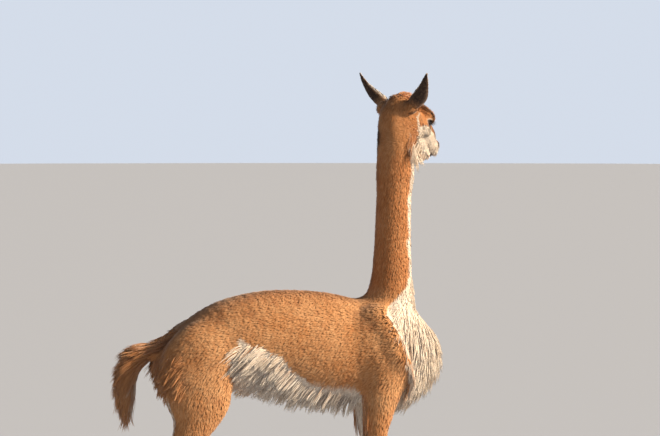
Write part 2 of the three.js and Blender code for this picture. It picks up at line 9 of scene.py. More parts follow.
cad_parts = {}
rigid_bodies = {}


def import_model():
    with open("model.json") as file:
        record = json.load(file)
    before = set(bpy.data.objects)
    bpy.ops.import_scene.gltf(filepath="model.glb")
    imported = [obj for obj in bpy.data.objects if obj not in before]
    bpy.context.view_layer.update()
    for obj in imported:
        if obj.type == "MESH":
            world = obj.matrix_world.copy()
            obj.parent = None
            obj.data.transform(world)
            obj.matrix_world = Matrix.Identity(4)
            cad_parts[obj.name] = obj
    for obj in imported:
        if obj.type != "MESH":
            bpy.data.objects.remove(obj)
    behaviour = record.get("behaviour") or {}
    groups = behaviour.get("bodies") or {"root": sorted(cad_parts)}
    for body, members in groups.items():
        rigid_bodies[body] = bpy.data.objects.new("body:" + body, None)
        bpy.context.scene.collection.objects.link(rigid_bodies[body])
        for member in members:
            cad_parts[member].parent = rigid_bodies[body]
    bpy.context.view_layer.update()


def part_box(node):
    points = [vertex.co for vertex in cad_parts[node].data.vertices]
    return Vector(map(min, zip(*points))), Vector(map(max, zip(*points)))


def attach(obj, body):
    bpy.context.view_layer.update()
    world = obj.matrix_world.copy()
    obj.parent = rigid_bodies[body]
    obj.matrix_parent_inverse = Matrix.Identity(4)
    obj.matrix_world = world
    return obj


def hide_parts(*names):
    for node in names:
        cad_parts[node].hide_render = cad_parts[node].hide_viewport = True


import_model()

# The animal's own sizes are in millimetres, as [side, fore, up]: left of the middle, ahead, above the floor.
# Its head end points along -Y and its left side along +X.
animal = {
    "headPlace": (6, 305, 1478),
    "headTurn": 34,
    "headNod": 40,
    "eyePlace": (37, 121, 16),  # in the head's own frame, on the left
    "eyeRadius": 17.0,
    "earPlace": (55, 17, -4),
    "earReach": (89, -26, 107),
    "earFacing": (-0.5, 1, 0),
    "earBow": (15, 4, 0),
    "legSide": 84,
    "toeSpread": 14,
}
legSide = animal["legSide"]

# A station of a limb is [side, fore, up, half width, half depth]
tailLine = [
    [0, -395, 694, 34, 34], [0, -460, 696, 31, 31], [0, -512, 686, 27, 28],
    [0, -548, 650, 24, 25], [0, -563, 600, 20, 22], [0, -568, 545, 12, 13],
]
trunkLine = [
    [0, 368, 690, 58, 62], [0, 325, 686, 94, 116], [0, 250, 680, 114, 150], [0, 150, 688, 124, 172],
    [0, 30, 705, 132, 180], [0, -110, 722, 134, 168], [0, -230, 724, 130, 142], [0, -330, 698, 117, 112],
    [0, -395, 674, 92, 84], [0, -428, 664, 56, 52],
]
neckLine = [
    [0, 250, 690, 84, 118], [0, 272, 780, 78, 100], [0, 284, 850, 67, 84], [0, 289, 930, 58, 68],
    [0, 292, 1040, 52, 62], [0, 295, 1150, 50, 60], [0, 300, 1270, 48, 60], [0, 303, 1370, 46, 56],
    [2, 303, 1430, 40, 48], [5, 312, 1472, 26, 30],
]
foreleg = [
    [legSide, 262, 640, 44, 74], [legSide + 4, 240, 560, 44, 62], [legSide + 2, 228, 490, 35, 47],
    [legSide - 2, 226, 400, 26, 31], [legSide - 5, 228, 332, 24, 26], [legSide - 6, 232, 297, 26, 28],
    [legSide - 7, 227, 255, 21, 22], [legSide - 8, 224, 180, 17, 18], [legSide - 8, 225, 118, 19, 20],
    [legSide - 8, 229, 84, 22, 23], [legSide - 8, 236, 58, 21, 21],
]
hindleg = [
    [legSide - 12, -340, 690, 48, 88], [legSide - 6, -350, 650, 54, 120], [legSide - 4, -345, 565, 48, 104],
    [legSide - 4, -355, 485, 37, 68], [legSide - 4, -388, 405, 26, 38], [legSide - 4, -412, 345, 24, 31],
    [legSide - 4, -410, 290, 20, 24], [legSide - 4, -404, 200, 17, 19], [legSide - 4, -400, 122, 19, 20],
    [legSide - 4, -395, 86, 22, 23], [legSide - 4, -388, 58, 21, 21],
]
legs = [
    {"end": "fore", "hand": 1, "line": foreleg, "step": 16},
    {"end": "fore", "hand": -1, "line": foreleg, "step": -10},
    {"end": "hind", "hand": 1, "line": hindleg, "step": 26},
    {"end": "hind", "hand": -1, "line": hindleg, "step": -14},
]


# Places, frames and curves
def at(side, fore, up):
    return np.array([side, -fore, up], float)


def turnX(degrees):
    c, s = math.cos(math.radians(degrees)), math.sin(math.radians(degrees))
    return np.array([[1, 0, 0], [0, c, -s], [0, s, c]])


def turnZ(degrees):
    c, s = math.cos(math.radians(degrees)), math.sin(math.radians(degrees))
    return np.array([[c, -s, 0], [s, c, 0], [0, 0, 1]])


yawOnly = turnZ(animal["headTurn"])
headTurned = yawOnly @ turnX(animal["headNod"])
headOrigin = at(*animal["headPlace"])


def fromHead(points):
    return np.atleast_2d(points) @ headTurned.T + headOrigin


def toHead(points):
    return (points - headOrigin) @ headTurned


# A place in the head's own frame, given for the left, on either side
def onHead(place, hand):
    return fromHead(at(hand * place[0], *place[1:]))[0]


def unit(v):
    return v / np.maximum(np.linalg.norm(v, axis=-1, keepdims=True), 1e-9)


def ease(low, high, x):
    t = np.clip((np.asarray(x, float) - low) / (high - low), 0, 1)
    return t * t * (3 - 2 * t)


def mix(a, b, t):
    return a + (b - a) * t


# The centripetal curve through points, at places from 0 to 1 along it
def curveAt(points, ts):
    points = np.asarray(points, float)
    last = len(points) - 1
    made = []
    for t in ts:
        place = min(max(t, 0), 1) * last
        i = min(int(place), last - 1)
        w = place - i
        p1, p2 = points[i], points[i + 1]
        p0 = points[i - 1] if i > 0 else 2 * p1 - p2
        p3 = points[i + 2] if i + 2 <= last else 2 * p2 - p1
        d0, d1, d2 = [max(np.linalg.norm(b - a), 1e-8) ** 0.5 for a, b in ((p0, p1), (p1, p2), (p2, p3))]
        t1 = ((p1 - p0) / d0 - (p2 - p0) / (d0 + d1) + (p2 - p1) / d1) * d1
        t2 = ((p2 - p1) / d1 - (p3 - p1) / (d1 + d2) + (p3 - p2) / d2) * d1
        c2 = -3 * p1 + 3 * p2 - 2 * t1 - t2
        c3 = 2 * p1 - 2 * p2 + t1 + t2
        made.append(p1 + t1 * w + c2 * w * w + c3 * w ** 3)
    return np.array(made)


# Fields: each gives about how far points are outside a form, and less than 0 inside it
fieldLook = {
    "margin": 75,  # millimetres round a limb within which its field is worked out
    "headMargin": 300,  # the same round the middle of the head
    "outside": 160.0,  # what a field gives beyond that
}


def limbField(stations, steps=5):
    stations = np.array(stations, float)
    ts = np.linspace(0, 1, (len(stations) - 1) * steps + 1)
    middle = curveAt(stations[:, :3] * [1, -1, 1], ts)
    size = curveAt(np.column_stack([stations[:, 3:], np.zeros(len(stations))]), ts)
    reach = size.max() + fieldLook["margin"]
    low, high = middle.min(0) - reach, middle.max(0) + reach

    def field(p):
        out = np.full(len(p), fieldLook["outside"])
        near = np.all((p > low) & (p < high), axis=1)
        q = p[near]
        best = np.full(len(q), 1e9)
        for a, b, sa, sb in zip(middle, middle[1:], size, size[1:]):
            along = b - a
            square = along @ along
            off = q - a
            t = np.clip(off @ along / square, 0, 1)
            off = off - t[:, None] * along
            wide = sa[0] + (sb[0] - sa[0]) * t
            deep = sa[1] + (sb[1] - sa[1]) * t
            across = unit(np.array([1, 0, 0]) - along * along[0] / square)
            far2 = np.einsum("ij,ij->i", off, off)
            s = off @ across
            share = np.sqrt(s * s / wide ** 2 + np.maximum(far2 - s * s, 0) / deep ** 2)
            d = np.sqrt(far2) * (1 - 1 / np.maximum(share, 1e-6))
            best = np.minimum(best, np.where(share > 1e-6, d, -np.minimum(wide, deep)))
        out[near] = best
        return out

    return field


def ballField(place, radii, tilt=0):
    turned = turnX(tilt)
    middle = at(*place)
    radii = np.array(radii, float)

    def field(p):
        local = (p - middle) @ turned
        share = np.linalg.norm(local / radii, axis=1)
        d = np.linalg.norm(local, axis=1) * (1 - 1 / np.maximum(share, 1e-6))
        return np.where(share > 1e-6, d, -radii.min())

    return field


def mirrored(field):
    return lambda p: field(np.abs(p) * [1, 0, 0] + p * [0, 1, 1])


def blend(soft, *fields):
    def field(p):
        d = fields[0](p)
        for other in fields[1:]:
            e = other(p)
            h = np.maximum(soft - np.abs(d - e), 0) / soft
            d = np.minimum(d, e) - h * h * soft / 4
        return d

    return field


def inset(field, by):
    return lambda p: field(p) + by


def legStations(leg, first=0):
    knee = len(leg["line"]) / 2
    return [
        [leg["hand"] * s, f + leg["step"] * min(i / knee, 1), u, w, d]
        for i, (s, f, u, w, d) in enumerate(leg["line"])
    ][first:]


def toeLine(leg, hand):
    side, fore = legStations(leg)[-1][:2]
    middle = side + hand * animal["toeSpread"]
    return [
        [side + hand * 7, fore - 6, 58, 14, 19], [middle - hand * 2, fore + 2, 34, 15, 24],
        [middle, fore + 26, 20, 14, 20], [middle + hand * 1.5, fore + 52, 14, 12, 15],
    ]


def nailLine(leg, hand):
    side, fore = toeLine(leg, hand)[-1][:2]
    return [[side, fore - 6, 15, 7, 8], [side, fore + 10, 13, 6.5, 8], [side, fore + 24, 6.5, 3.4, 4]]


hocks = [
    limbField([
        [leg["hand"] * (legSide - 4), -398 + leg["step"], 455, 12, 13],
        [leg["hand"] * (legSide - 4), -428 + leg["step"], 400, 10, 11],
        [leg["hand"] * (legSide - 4), -444 + leg["step"], 362, 12, 13],
    ])
    for leg in legs if leg["end"] == "hind"
]
torso = blend(
    46, limbField(trunkLine),
    mirrored(ballField([76, 240, 690], [48, 84, 136], -18)),
    ballField([0, 345, 668], [80, 60, 110], 8),
    mirrored(ballField([66, -322, 700], [56, 96, 80])),
    *[inset(limbField(legStations(leg)[:3]), 2) for leg in legs],
)
torsoAndNeck = blend(52, torso, limbField(neckLine))
legField = blend(16, *[limbField(legStations(leg)) for leg in legs], *hocks)
toeField = blend(5, *[limbField(toeLine(leg, hand), 3) for leg in legs for hand in (1, -1)])
headLocal = mirrored(blend(
    15,
    ballField([0, 42, 8], [50, 58, 46]),
    ballField([51, 18, -8], [25, 24, 24]),
    ballField([0, 92, 25], [42, 48, 36]),
    ballField([35, 117, 34], [21, 29, 15]),
    ballField([34, 120, 15], [20, 25, 19]),
    ballField([28, 84, -24], [28, 54, 42], 8),
    ballField([36, 116, -6], [18, 38, 18]),
    limbField([[0, 104, 6, 40, 38], [0, 152, 3, 34, 34], [0, 200, -3, 28, 27], [0, 222, -6, 24, 21]]),
    limbField([[12, 52, -48, 23, 25], [11, 120, -47, 21, 22], [6, 190, -39, 16, 16], [2, 214, -39, 13, 13]]),
    ballField([0, 228, 3], [22, 17, 16]),
    ballField([11, 228, -12], [14, 16, 13]),
))


headMiddle = (headOrigin + fromHead(at(0, 105, 0))[0]) / 2


def headField(p):
    out = np.full(len(p), fieldLook["outside"])
    near = np.linalg.norm(p - headMiddle, axis=1) < fieldLook["headMargin"]
    out[near] = headLocal(toHead(p[near]))
    return out


# How deep the skin lies under the tips of the coat, in millimetres
skinDepth = {
    "leg": 3.5, "trunk": 10, "neck": 7, "tail": 6, "head": 4, "forehead": 2.6, "muzzle": 1.6, "foot": 2.2,
}


def coatDepth(p):
    fore, up = -p[:, 1], p[:, 2]
    depth = mix(skinDepth["leg"], skinDepth["trunk"], ease(455, 600, up))
    depth = mix(depth, skinDepth["neck"], ease(850, 960, up))
    depth = mix(depth, skinDepth["tail"], ease(-440, -480, fore) * ease(480, 520, up))
    local = toHead(p)
    depth = mix(depth, skinDepth["head"], ease(1380, 1440, up))
    face = mix(skinDepth["forehead"], skinDepth["muzzle"], ease(110, 200, -local[:, 1]))
    depth = mix(depth, face, ease(10, 70, -local[:, 1]) * ease(1180, 1260, up))
    return np.where(up < 95, skinDepth["foot"], depth)


wholeBody = blend(22, blend(12, blend(10, legField, toeField), torsoAndNeck, limbField(tailLine)), headField)


# Where the shoulder's fleece ends in a fold over the white of the chest, as [up, fore]
bibEdge = np.array([[520, 330], [600, 334], [656, 326], [688, 309], [717, 300], [759, 281], [805, 251],
                    [830, 258], [845, 277], [860, 302], [900, 324], [935, 337], [1000, 341], [1100, 344],
                    [1250, 350], [1330, 352]], float)


fold = {"height": 13, "groove": 5}


def foldHeight(p):
    side, fore, up = np.abs(p[:, 0]), -p[:, 1], p[:, 2]
    ahead = fore - np.interp(up, bibEdge[:, 0], bibEdge[:, 1])
    height = fold["height"] * ease(-85, -22, ahead) * ease(4, -12, ahead)
    height = height - fold["groove"] * ease(-4, 8, ahead) * ease(40, 16, ahead)
    return height * ease(610, 670, up) * ease(850, 815, up) * ease(20, 45, side)


# The mouth line, the lip cleft and the nostrils, in the head's own frame, with how deep and wide they are
lipLine = np.array([[257, -22], [237, -24.5], [212, -25], [192, -22], [172, -15]], float)
faceCuts = {"mouth": 2.6, "mouthWidth": 2.0, "cleft": 2.2, "cleftWidth": 1.6, "nostril": 5.5}
nostril = {"place": (12, 241, 3), "radii": (3.0, 9.0, 7.5), "turn": 38}
muzzleFrom = 160


def faceLines(p):
    local = toHead(p)
    side, fore, up = np.abs(local[:, 0]), -local[:, 1], local[:, 2]
    off = np.abs(up - np.interp(fore, lipLine[::-1, 0], lipLine[::-1, 1]))
    mouth = np.exp(-(off / faceCuts["mouthWidth"]) ** 2) * ease(184, 200, fore) * ease(275, 262, fore)
    cleft = np.exp(-(side / faceCuts["cleftWidth"]) ** 2)
    cleft = cleft * ease(234, 240, fore) * ease(-24, -20, up) * ease(0, -6, up)
    turn = math.radians(nostril["turn"])
    ds, df, du = [have - want for have, want in zip((side, fore, up), nostril["place"])]
    across, along = ds * math.cos(turn) - du * math.sin(turn), ds * math.sin(turn) + du * math.cos(turn)
    wide, deep, long = nostril["radii"]
    share = np.sqrt((across / wide) ** 2 + (df / deep) ** 2 + (along / long) ** 2)
    return mouth, cleft, np.exp(-share ** 3)


def carved(p):
    out = np.zeros(len(p))
    near = -toHead(p)[:, 1] > muzzleFrom
    if near.any():
        mouth, cleft, hole = faceLines(p[near])
        out[near] = faceCuts["mouth"] * mouth + faceCuts["cleft"] * cleft + faceCuts["nostril"] * hole
    return out


# How far the skin stands out of the head's forms, and at the nose and crown how far in
faceFill = {"bridge": 7.5, "chin": 6.0, "nape": 6.0, "nose": 3.5, "crown": 9.0, "cheek": 5.0}


def fullness(p):
    out = np.zeros(len(p))
    near = p[:, 2] > 1280
    if near.any():
        local, height = toHead(p[near]), p[near, 2]
        side, fore, up = np.abs(local[:, 0]), -local[:, 1], local[:, 2]
        bridge = faceFill["bridge"] * ease(128, 152, fore) * ease(214, 186, fore)
        bridge = bridge * ease(34, 12, side) * ease(-6, 14, up)
        chin = faceFill["chin"] * ease(150, 176, fore) * ease(240, 216, fore)
        chin = chin * ease(26, 12, side) * ease(-38, -48, up)
        nape = faceFill["nape"] * ease(1310, 1405, height) * ease(1480, 1456, height)
        nape = nape * ease(320, 282, -p[near, 1])
        fromCheek = (side - 35) ** 2 + (fore - 156) ** 2 + (up + 15) ** 2
        cheek = faceFill["cheek"] * np.exp(-fromCheek / 26 ** 2)
        nose = faceFill["nose"] * ease(224, 240, fore) * ease(-18, -8, up)
        crown = faceFill["crown"] * ease(8, 30, up) * ease(96, 62, fore) * ease(48, 34, side)
        out[near] = bridge + chin + nape + cheek - nose - crown
    return out


def skinField(p):
    return wholeBody(p) + coatDepth(p) - foldHeight(p) - fullness(p) + carved(p)


# Meshes: the animal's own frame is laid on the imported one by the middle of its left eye
eyeLow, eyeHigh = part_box("eye_left")
shift = 1000 * (np.array(eyeLow + eyeHigh) / 2) - onHead(animal["eyePlace"], 1)
shift[2] = 0


def toMetres(points):
    return (np.asarray(points, float) + shift) / 1000


def toModel(points):
    return np.asarray(points, float) * 1000 - shift


def meshObject(name, points, faces):
    mesh = bpy.data.meshes.new(name)
    mesh.from_pydata(toMetres(points).tolist(), [], [list(map(int, f)) for f in faces])
    mesh.polygons.foreach_set("use_smooth", [True] * len(mesh.polygons))
    thing = bpy.data.objects.new(name, mesh)
    bpy.context.scene.collection.objects.link(thing)
    return thing


def readVectors(mesh, key="co"):
    flat = np.empty(len(mesh.vertices) * 3, np.float32)
    mesh.vertices.foreach_get(key, flat)
    return flat.reshape(-1, 3).astype(float)


def movePoints(mesh, points):
    mesh.vertices.foreach_set("co", toMetres(points).astype(np.float32).ravel())
    mesh.update()


def cornerPoints(mesh):
    corners = np.empty(len(mesh.loops), np.int32)
    mesh.loops.foreach_get("vertex_index", corners)
    return corners


def turnOutwards(mesh):
    whole = bmesh.new()
    whole.from_mesh(mesh)
    bmesh.ops.recalc_face_normals(whole, faces=whole.faces)
    whole.to_mesh(mesh)
    whole.free()


def triangles(mesh):
    return sum(len(face.vertices) - 2 for face in mesh.polygons)


# The object's mesh as its modifiers leave it
def evaluatedMesh(thing):
    bpy.context.view_layer.update()
    return bpy.data.meshes.new_from_object(thing.evaluated_get(bpy.context.evaluated_depsgraph_get()))


# How far rays go from their origins before they leave a field's form
def reachOf(field, origin, way, most, stride=8.0):
    low = np.zeros(len(origin))
    going = np.ones(len(origin), bool)
    while going.any():
        spots = np.nonzero(going)[0]
        inside = field(origin[spots] + way[spots] * (low[spots] + stride)[:, None]) < 0
        low[spots[inside]] += stride
        going[spots[~inside]] = False
        going &= low < most
    high = low + stride
    for _ in range(9):
        half = (low + high) / 2
        inside = field(origin + way * half[:, None]) < 0
        low = np.where(inside, half, low)
        high = np.where(inside, high, half)
    return np.minimum(low, most)


def ringFaces(rings, sides, first=0):
    faces = []
    for i in range(rings - 1):
        for j in range(sides):
            k = (j + 1) % sides
            a = first + i * sides
            faces.append((a + j, a + k, a + sides + k, a + sides + j))
    return faces


# Rings closed at their two ends by the two points that follow them
def closedFaces(rings, sides, flipped=False):
    order = -1 if flipped else 1
    faces = [face[::order] for face in ringFaces(rings, sides)]
    low, last = rings * sides, (rings - 1) * sides
    for j in range(sides):
        near, far = (j, (j + 1) % sides)[::order]
        faces += [(low, far, near), (low + 1, last + near, last + far)]
    return faces


# A closed skin over a field: rays go out in rings from an axis
def castSkin(field, places, rings, sides, reach):
    even = np.linspace(0, 1, rings)
    ts = mix(even, (1 - np.cos(np.pi * even)) / 2, 0.5)
    line = [at(*place[:3]) for place in places]
    middle = curveAt(line, ts)
    along = unit(curveAt(line, np.minimum(ts + 1e-3, 1)) - curveAt(line, np.maximum(ts - 1e-3, 0)))
    across = unit(np.array([1.0, 0, 0]) - along * along[:, :1])
    upwards = np.cross(along, across)
    angles = np.linspace(0, 2 * np.pi, sides, endpoint=False)
    way = across[:, None] * np.cos(angles)[None, :, None] + upwards[:, None] * np.sin(angles)[None, :, None]
    origin = np.repeat(middle, sides, axis=0)
    way = way.reshape(-1, 3)
    made = origin + way * reachOf(field, origin, way, reach)[:, None]
    poles = [middle[i] + sign * along[i] * reachOf(field, middle[[i]], sign * along[[i]], 90)[0]
             for i, sign in ((0, -1), (-1, 1))]
    return np.vstack([made, poles]), closedFaces(rings, sides, True)


skinLook = {
    "voxel": 7.0,  # millimetres
    "sunk": 2,  # how far the first casts lie inside the solids' forms
    "splitFrom": (10, 95, 190),  # faces of the head are split once more past each of these
    "splitReach": 180,
    "settleMost": 6,  # the most that a point moves in one pass
    "floor": 0.6,  # how far the soles stay above the floor
}


def castParts():
    sunk = skinLook["sunk"]
    trunkAxis = [[0, 392, 684], [0, 120, 690], [0, -150, 722], [0, -466, 672]]
    headAxis = [[0, 0, 2], [0, 60, 2], [0, 130, -6], [0, 218, -12]]
    headPoints, headFaces = castSkin(headLocal, headAxis, 44, 36, 120)
    casts = [
        castSkin(inset(torsoAndNeck, sunk), trunkAxis, 50, 40, 230),
        castSkin(inset(limbField(neckLine), sunk), neckLine[1:], 40, 28, 110),
        castSkin(inset(limbField(tailLine), sunk), tailLine, 24, 16, 60),
        (fromHead(headPoints), headFaces),
    ]
    for leg in legs:
        field = inset(blend(16, limbField(legStations(leg)), *hocks), sunk)
        casts.append(castSkin(field, legStations(leg, 1), 44, 20, 112))
    for leg in legs:
        for hand in (1, -1):
            line = toeLine(leg, hand)
            casts.append(castSkin(inset(limbField(line), sunk), line, 14, 12, 60))
    return casts


# The casts are joined by a voxel remesh, and its points then settle on the skin's own field
def makeSkin():
    points, faces, start = [], [], 0
    for made, found in castParts():
        points.append(made)
        faces += [tuple(start + v for v in f) for f in found]
        start += len(made)
    skin = meshObject("skin", np.vstack(points), faces)
    remesh = skin.modifiers.new("remesh", "REMESH")
    remesh.mode = "VOXEL"
    remesh.voxel_size = skinLook["voxel"] / 1000
    joined = evaluatedMesh(skin)
    skin.modifiers.clear()
    skin.data = joined
    settle(joined, 3)
    for start in skinLook["splitFrom"]:
        splitHead(joined, start)
        settle(joined, 2)
    addLids(joined)
    return skin


# Eyes and lids: places round an eye are [angle from its axis, turn about it]
def eyeFrame(hand):
    centre = onHead(animal["eyePlace"], hand)
    look = unit(headTurned @ at(hand * 0.9, 0.36, -0.06))
    upright = headTurned @ np.array([0, 0, 1.0])
    upright = unit(upright - look * (upright @ look))
    return centre, look, np.cross(upright, look), upright


lidLook = {
    "half": (50, 27),  # half length and half height of the opening, in degrees from the eye's axis
    "sharp": 1.7,
    # degrees past the edge, height, and whether that is above the face or the ball
    "rows": [(-5, -1.2, 0), (-0.5, 0.5, 0), (2, 1.9, 0), (8, 2.5, 0), (15, 1.5, 0), (22, 2.2, 0.3),
             (31, 0.3, 1), (40, -2.0, 1)],
    "around": 56,
    "reach": 60,  # millimetres from the eye's middle
    "pressed": 36,  # the skin is pressed in under the lids up to this many degrees past their edge
}


def lidEdge(turn):
    long, high = lidLook["half"]
    power = lidLook["sharp"]
    return (np.abs(np.cos(turn) / long) ** power + np.abs(np.sin(turn) / high) ** power) ** (-1 / power)


# How many degrees places lie past the edge of the nearer eye's lids, and their distance from that eye
def pastLids(p):
    past, far = np.full(len(p), 90.0), np.full(len(p), 1e3)
    for hand in (1, -1):
        centre, look, level, upright = eyeFrame(hand)
        off = p - centre
        distance = np.linalg.norm(off, axis=1)
        near = distance < lidLook["reach"]
        tilt = np.degrees(np.arccos(np.clip(off[near] @ look / np.maximum(distance[near], 1e-6), -1, 1)))
        turn = np.arctan2(off[near] @ upright, off[near] @ level)
        past[near] = tilt - lidEdge(turn)
        far[near] = distance[near]
    return past, far


def pressUnderLids(points):
    radius = animal["eyeRadius"]
    for hand in (1, -1):
        centre = eyeFrame(hand)[0]
        off = points - centre
        distance = np.linalg.norm(off, axis=1)
        past = pastLids(points)[0]
        most = np.where(past < 4, radius - 3.5, mix(radius + 0.2, radius + 14, ease(12, 36, past)))
        low = (distance > most) & (distance < 40) & (past < lidLook["pressed"])
        points[low] = centre + off[low] * (most[low] / distance[low])[:, None]


def lidRings():
    radius, around = animal["eyeRadius"], lidLook["around"]
    made, faces = [], []
    turns = np.linspace(0, 2 * np.pi, around, endpoint=False)
    for hand in (1, -1):
        centre, look, level, upright = eyeFrame(hand)
        start = len(made) * around
        for degrees, height, onFace in lidLook["rows"]:
            tilt = np.radians(np.maximum(lidEdge(turns) + degrees, 2))
            flat = level * np.cos(turns)[:, None] + upright * np.sin(turns)[:, None]
            way = look * np.cos(tilt)[:, None] + flat * np.sin(tilt)[:, None]
            face = reachOf(skinField, np.tile(centre, (len(turns), 1)), way, 40, 2.0)
            base = mix(np.full(len(turns), radius), np.maximum(face, radius if onFace < 1 else 0), onFace)
            made.append(centre + way * (base + height)[:, None])
        ring = ringFaces(len(lidLook["rows"]), around, start)
        a, b, c = [np.vstack(made)[v] for v in ring[around * 3][:3]]
        outward = np.cross(b - a, c - a) @ (a - centre) > 0
        faces += [f if outward else f[::-1] for f in ring]
    return np.vstack(made), faces


def addLids(mesh):
    points = toModel(readVectors(mesh))
    pressUnderLids(points)
    movePoints(mesh, points)
    lids = meshObject("lids", *lidRings())
    joined = bmesh.new()
    joined.from_mesh(mesh)
    joined.from_mesh(lids.data)
    joined.to_mesh(mesh)
    joined.free()
    bpy.data.objects.remove(lids)
    mesh.update()


def settle(mesh, times):
    most = skinLook["settleMost"]
    for _ in range(times):
        points = toModel(readVectors(mesh))
        d = np.clip(skinField(points), -most, most)
        points = points - readVectors(mesh, "normal") * d[:, None]
        points[:, 2] = np.maximum(points[:, 2], skinLook["floor"])
        movePoints(mesh, points)


def splitHead(mesh, start):
    local = toHead(toModel(readVectors(mesh)))
    inHead = np.linalg.norm(local - at(0, 105, 0), axis=1) < skinLook["splitReach"]
    inHead = inHead & (-local[:, 1] > start)
    split = bmesh.new()
    split.from_mesh(mesh)
    split.verts.ensure_lookup_table()
    edges = [e for e in split.edges if inHead[e.verts[0].index] and inHead[e.verts[1].index]]
    bmesh.ops.subdivide_edges(split, edges=edges, cuts=1, use_grid_fill=True)
    split.to_mesh(mesh)
    split.free()
    mesh.update()


# A socket in an expression: each operation on it adds its own maths node
class Value:
    def __init__(self, graph, socket):
        self.graph = graph
        self.socket = socket

    def joinedTo(self, other, operation, swapped=False):
        first, second = (other, self) if swapped else (self, other)
        return self.graph.value("ShaderNodeMath", {"operation": operation}, _0=first, _1=second)

    def __add__(self, other):
        return self.joinedTo(other, "ADD")

    def __sub__(self, other):
        return self.joinedTo(other, "SUBTRACT")

    def __rsub__(self, other):
        return self.joinedTo(other, "SUBTRACT", True)

    def __mul__(self, other):
        return self.joinedTo(other, "MULTIPLY")

    def __pow__(self, other):
        return self.joinedTo(other, "POWER")

    __radd__ = __add__
    __rmul__ = __mul__


# A node tree: a node's settings come first, then its sockets, by name or as _ and a number
class Graph:
    def __init__(self, tree):
        self.tree = tree

    def node(self, kind, settings=None, **sockets):
        made = self.tree.nodes.new(kind)
        for key, setting in (settings or {}).items():
            setattr(made, key, setting)
        for key, item in sockets.items():
            slot = made.inputs[int(key[1:])] if key[0] == "_" else made.inputs[key.replace("_", " ")]
            self.feed(slot, item)
        return made

    def feed(self, slot, item):
        if isinstance(item, Value):
            self.tree.links.new(item.socket, slot)
        else:
            slot.default_value = item

    def value(self, kind, settings=None, output=0, **sockets):
        return Value(self, self.node(kind, settings, **sockets).outputs[output])


class Finish(Graph):
    def __init__(self, name, **fixed):
        self.material = bpy.data.materials.new(name)
        self.material.use_nodes = True
        super().__init__(self.material.node_tree)
        self.shader = self.tree.nodes["Principled BSDF"]
        for socket, amount in fixed.items():
            self.shader.inputs[socket.replace("_", " ")].default_value = amount

    def attribute(self, name):
        return self.value("ShaderNodeAttribute", {"attribute_name": name}, "Fac")

    def noise(self, scale, detail=2.0, stretch=(1, 1, 1)):
        place = self.value("ShaderNodeTexCoord", None, "Object")
        mapped = self.value("ShaderNodeMapping", Vector=place, Scale=stretch)
        return self.value("ShaderNodeTexNoise", None, "Fac", Vector=mapped, Scale=scale, Detail=detail)

    def steps(self, value, low, high):
        return self.value("ShaderNodeMapRange", {"interpolation_type": "SMOOTHSTEP"}, Value=value,
                          From_Min=low, From_Max=high)

    def mixed(self, amount, first, second, blendType="MIX"):
        return self.value("ShaderNodeMix", {"data_type": "RGBA", "blend_type": blendType}, 2,
                          _0=amount, _6=first, _7=second)

    def shaded(self, amount, colour, shade):
        return self.mixed(amount, colour, self.mixed(1.0, colour, shade, "MULTIPLY"))

    def bump(self, height, strength, distance):
        self.set(Normal=self.value("ShaderNodeBump", Height=height, Strength=strength, Distance=distance))

    def set(self, **sockets):
        for key, item in sockets.items():
            self.feed(self.shader.inputs[key.replace("_", " ")], item)


def rgb(red, green, blue):
    linear = [((c / 255 + 0.055) / 1.055) ** 2.4 if c > 10 else c / 255 / 12.92 for c in (red, green, blue)]
    return (*linear, 1.0)


coatColours = {
    "fawn": rgb(188, 128, 78),
    "fawnDeep": rgb(150, 96, 60),
    "fawnLight": rgb(212, 160, 112),
    "neck": rgb(172, 106, 58),
    "crown": rgb(200, 124, 70),
    "pale": rgb(242, 233, 220),
    "paleDeep": rgb(220, 202, 180),
    # the ears' own dark grey-brown, made near black as painted shade for ears with the light behind them
    "earDarkAndShade": rgb(52, 40, 38),
    "bare": rgb(36, 27, 26),
    # painted shade: the skin under the tufts is darkened as the shade deep in the coat
    "skinPaintedShade": rgb(150, 118, 96),
    # painted shade: each tuft is darkened towards its root, as the shade deep in the coat
    "rootPaintedShade": rgb(150, 116, 92),
    "lockShade": rgb(184, 156, 134),
    "sunBleached": rgb(232, 196, 150),
}


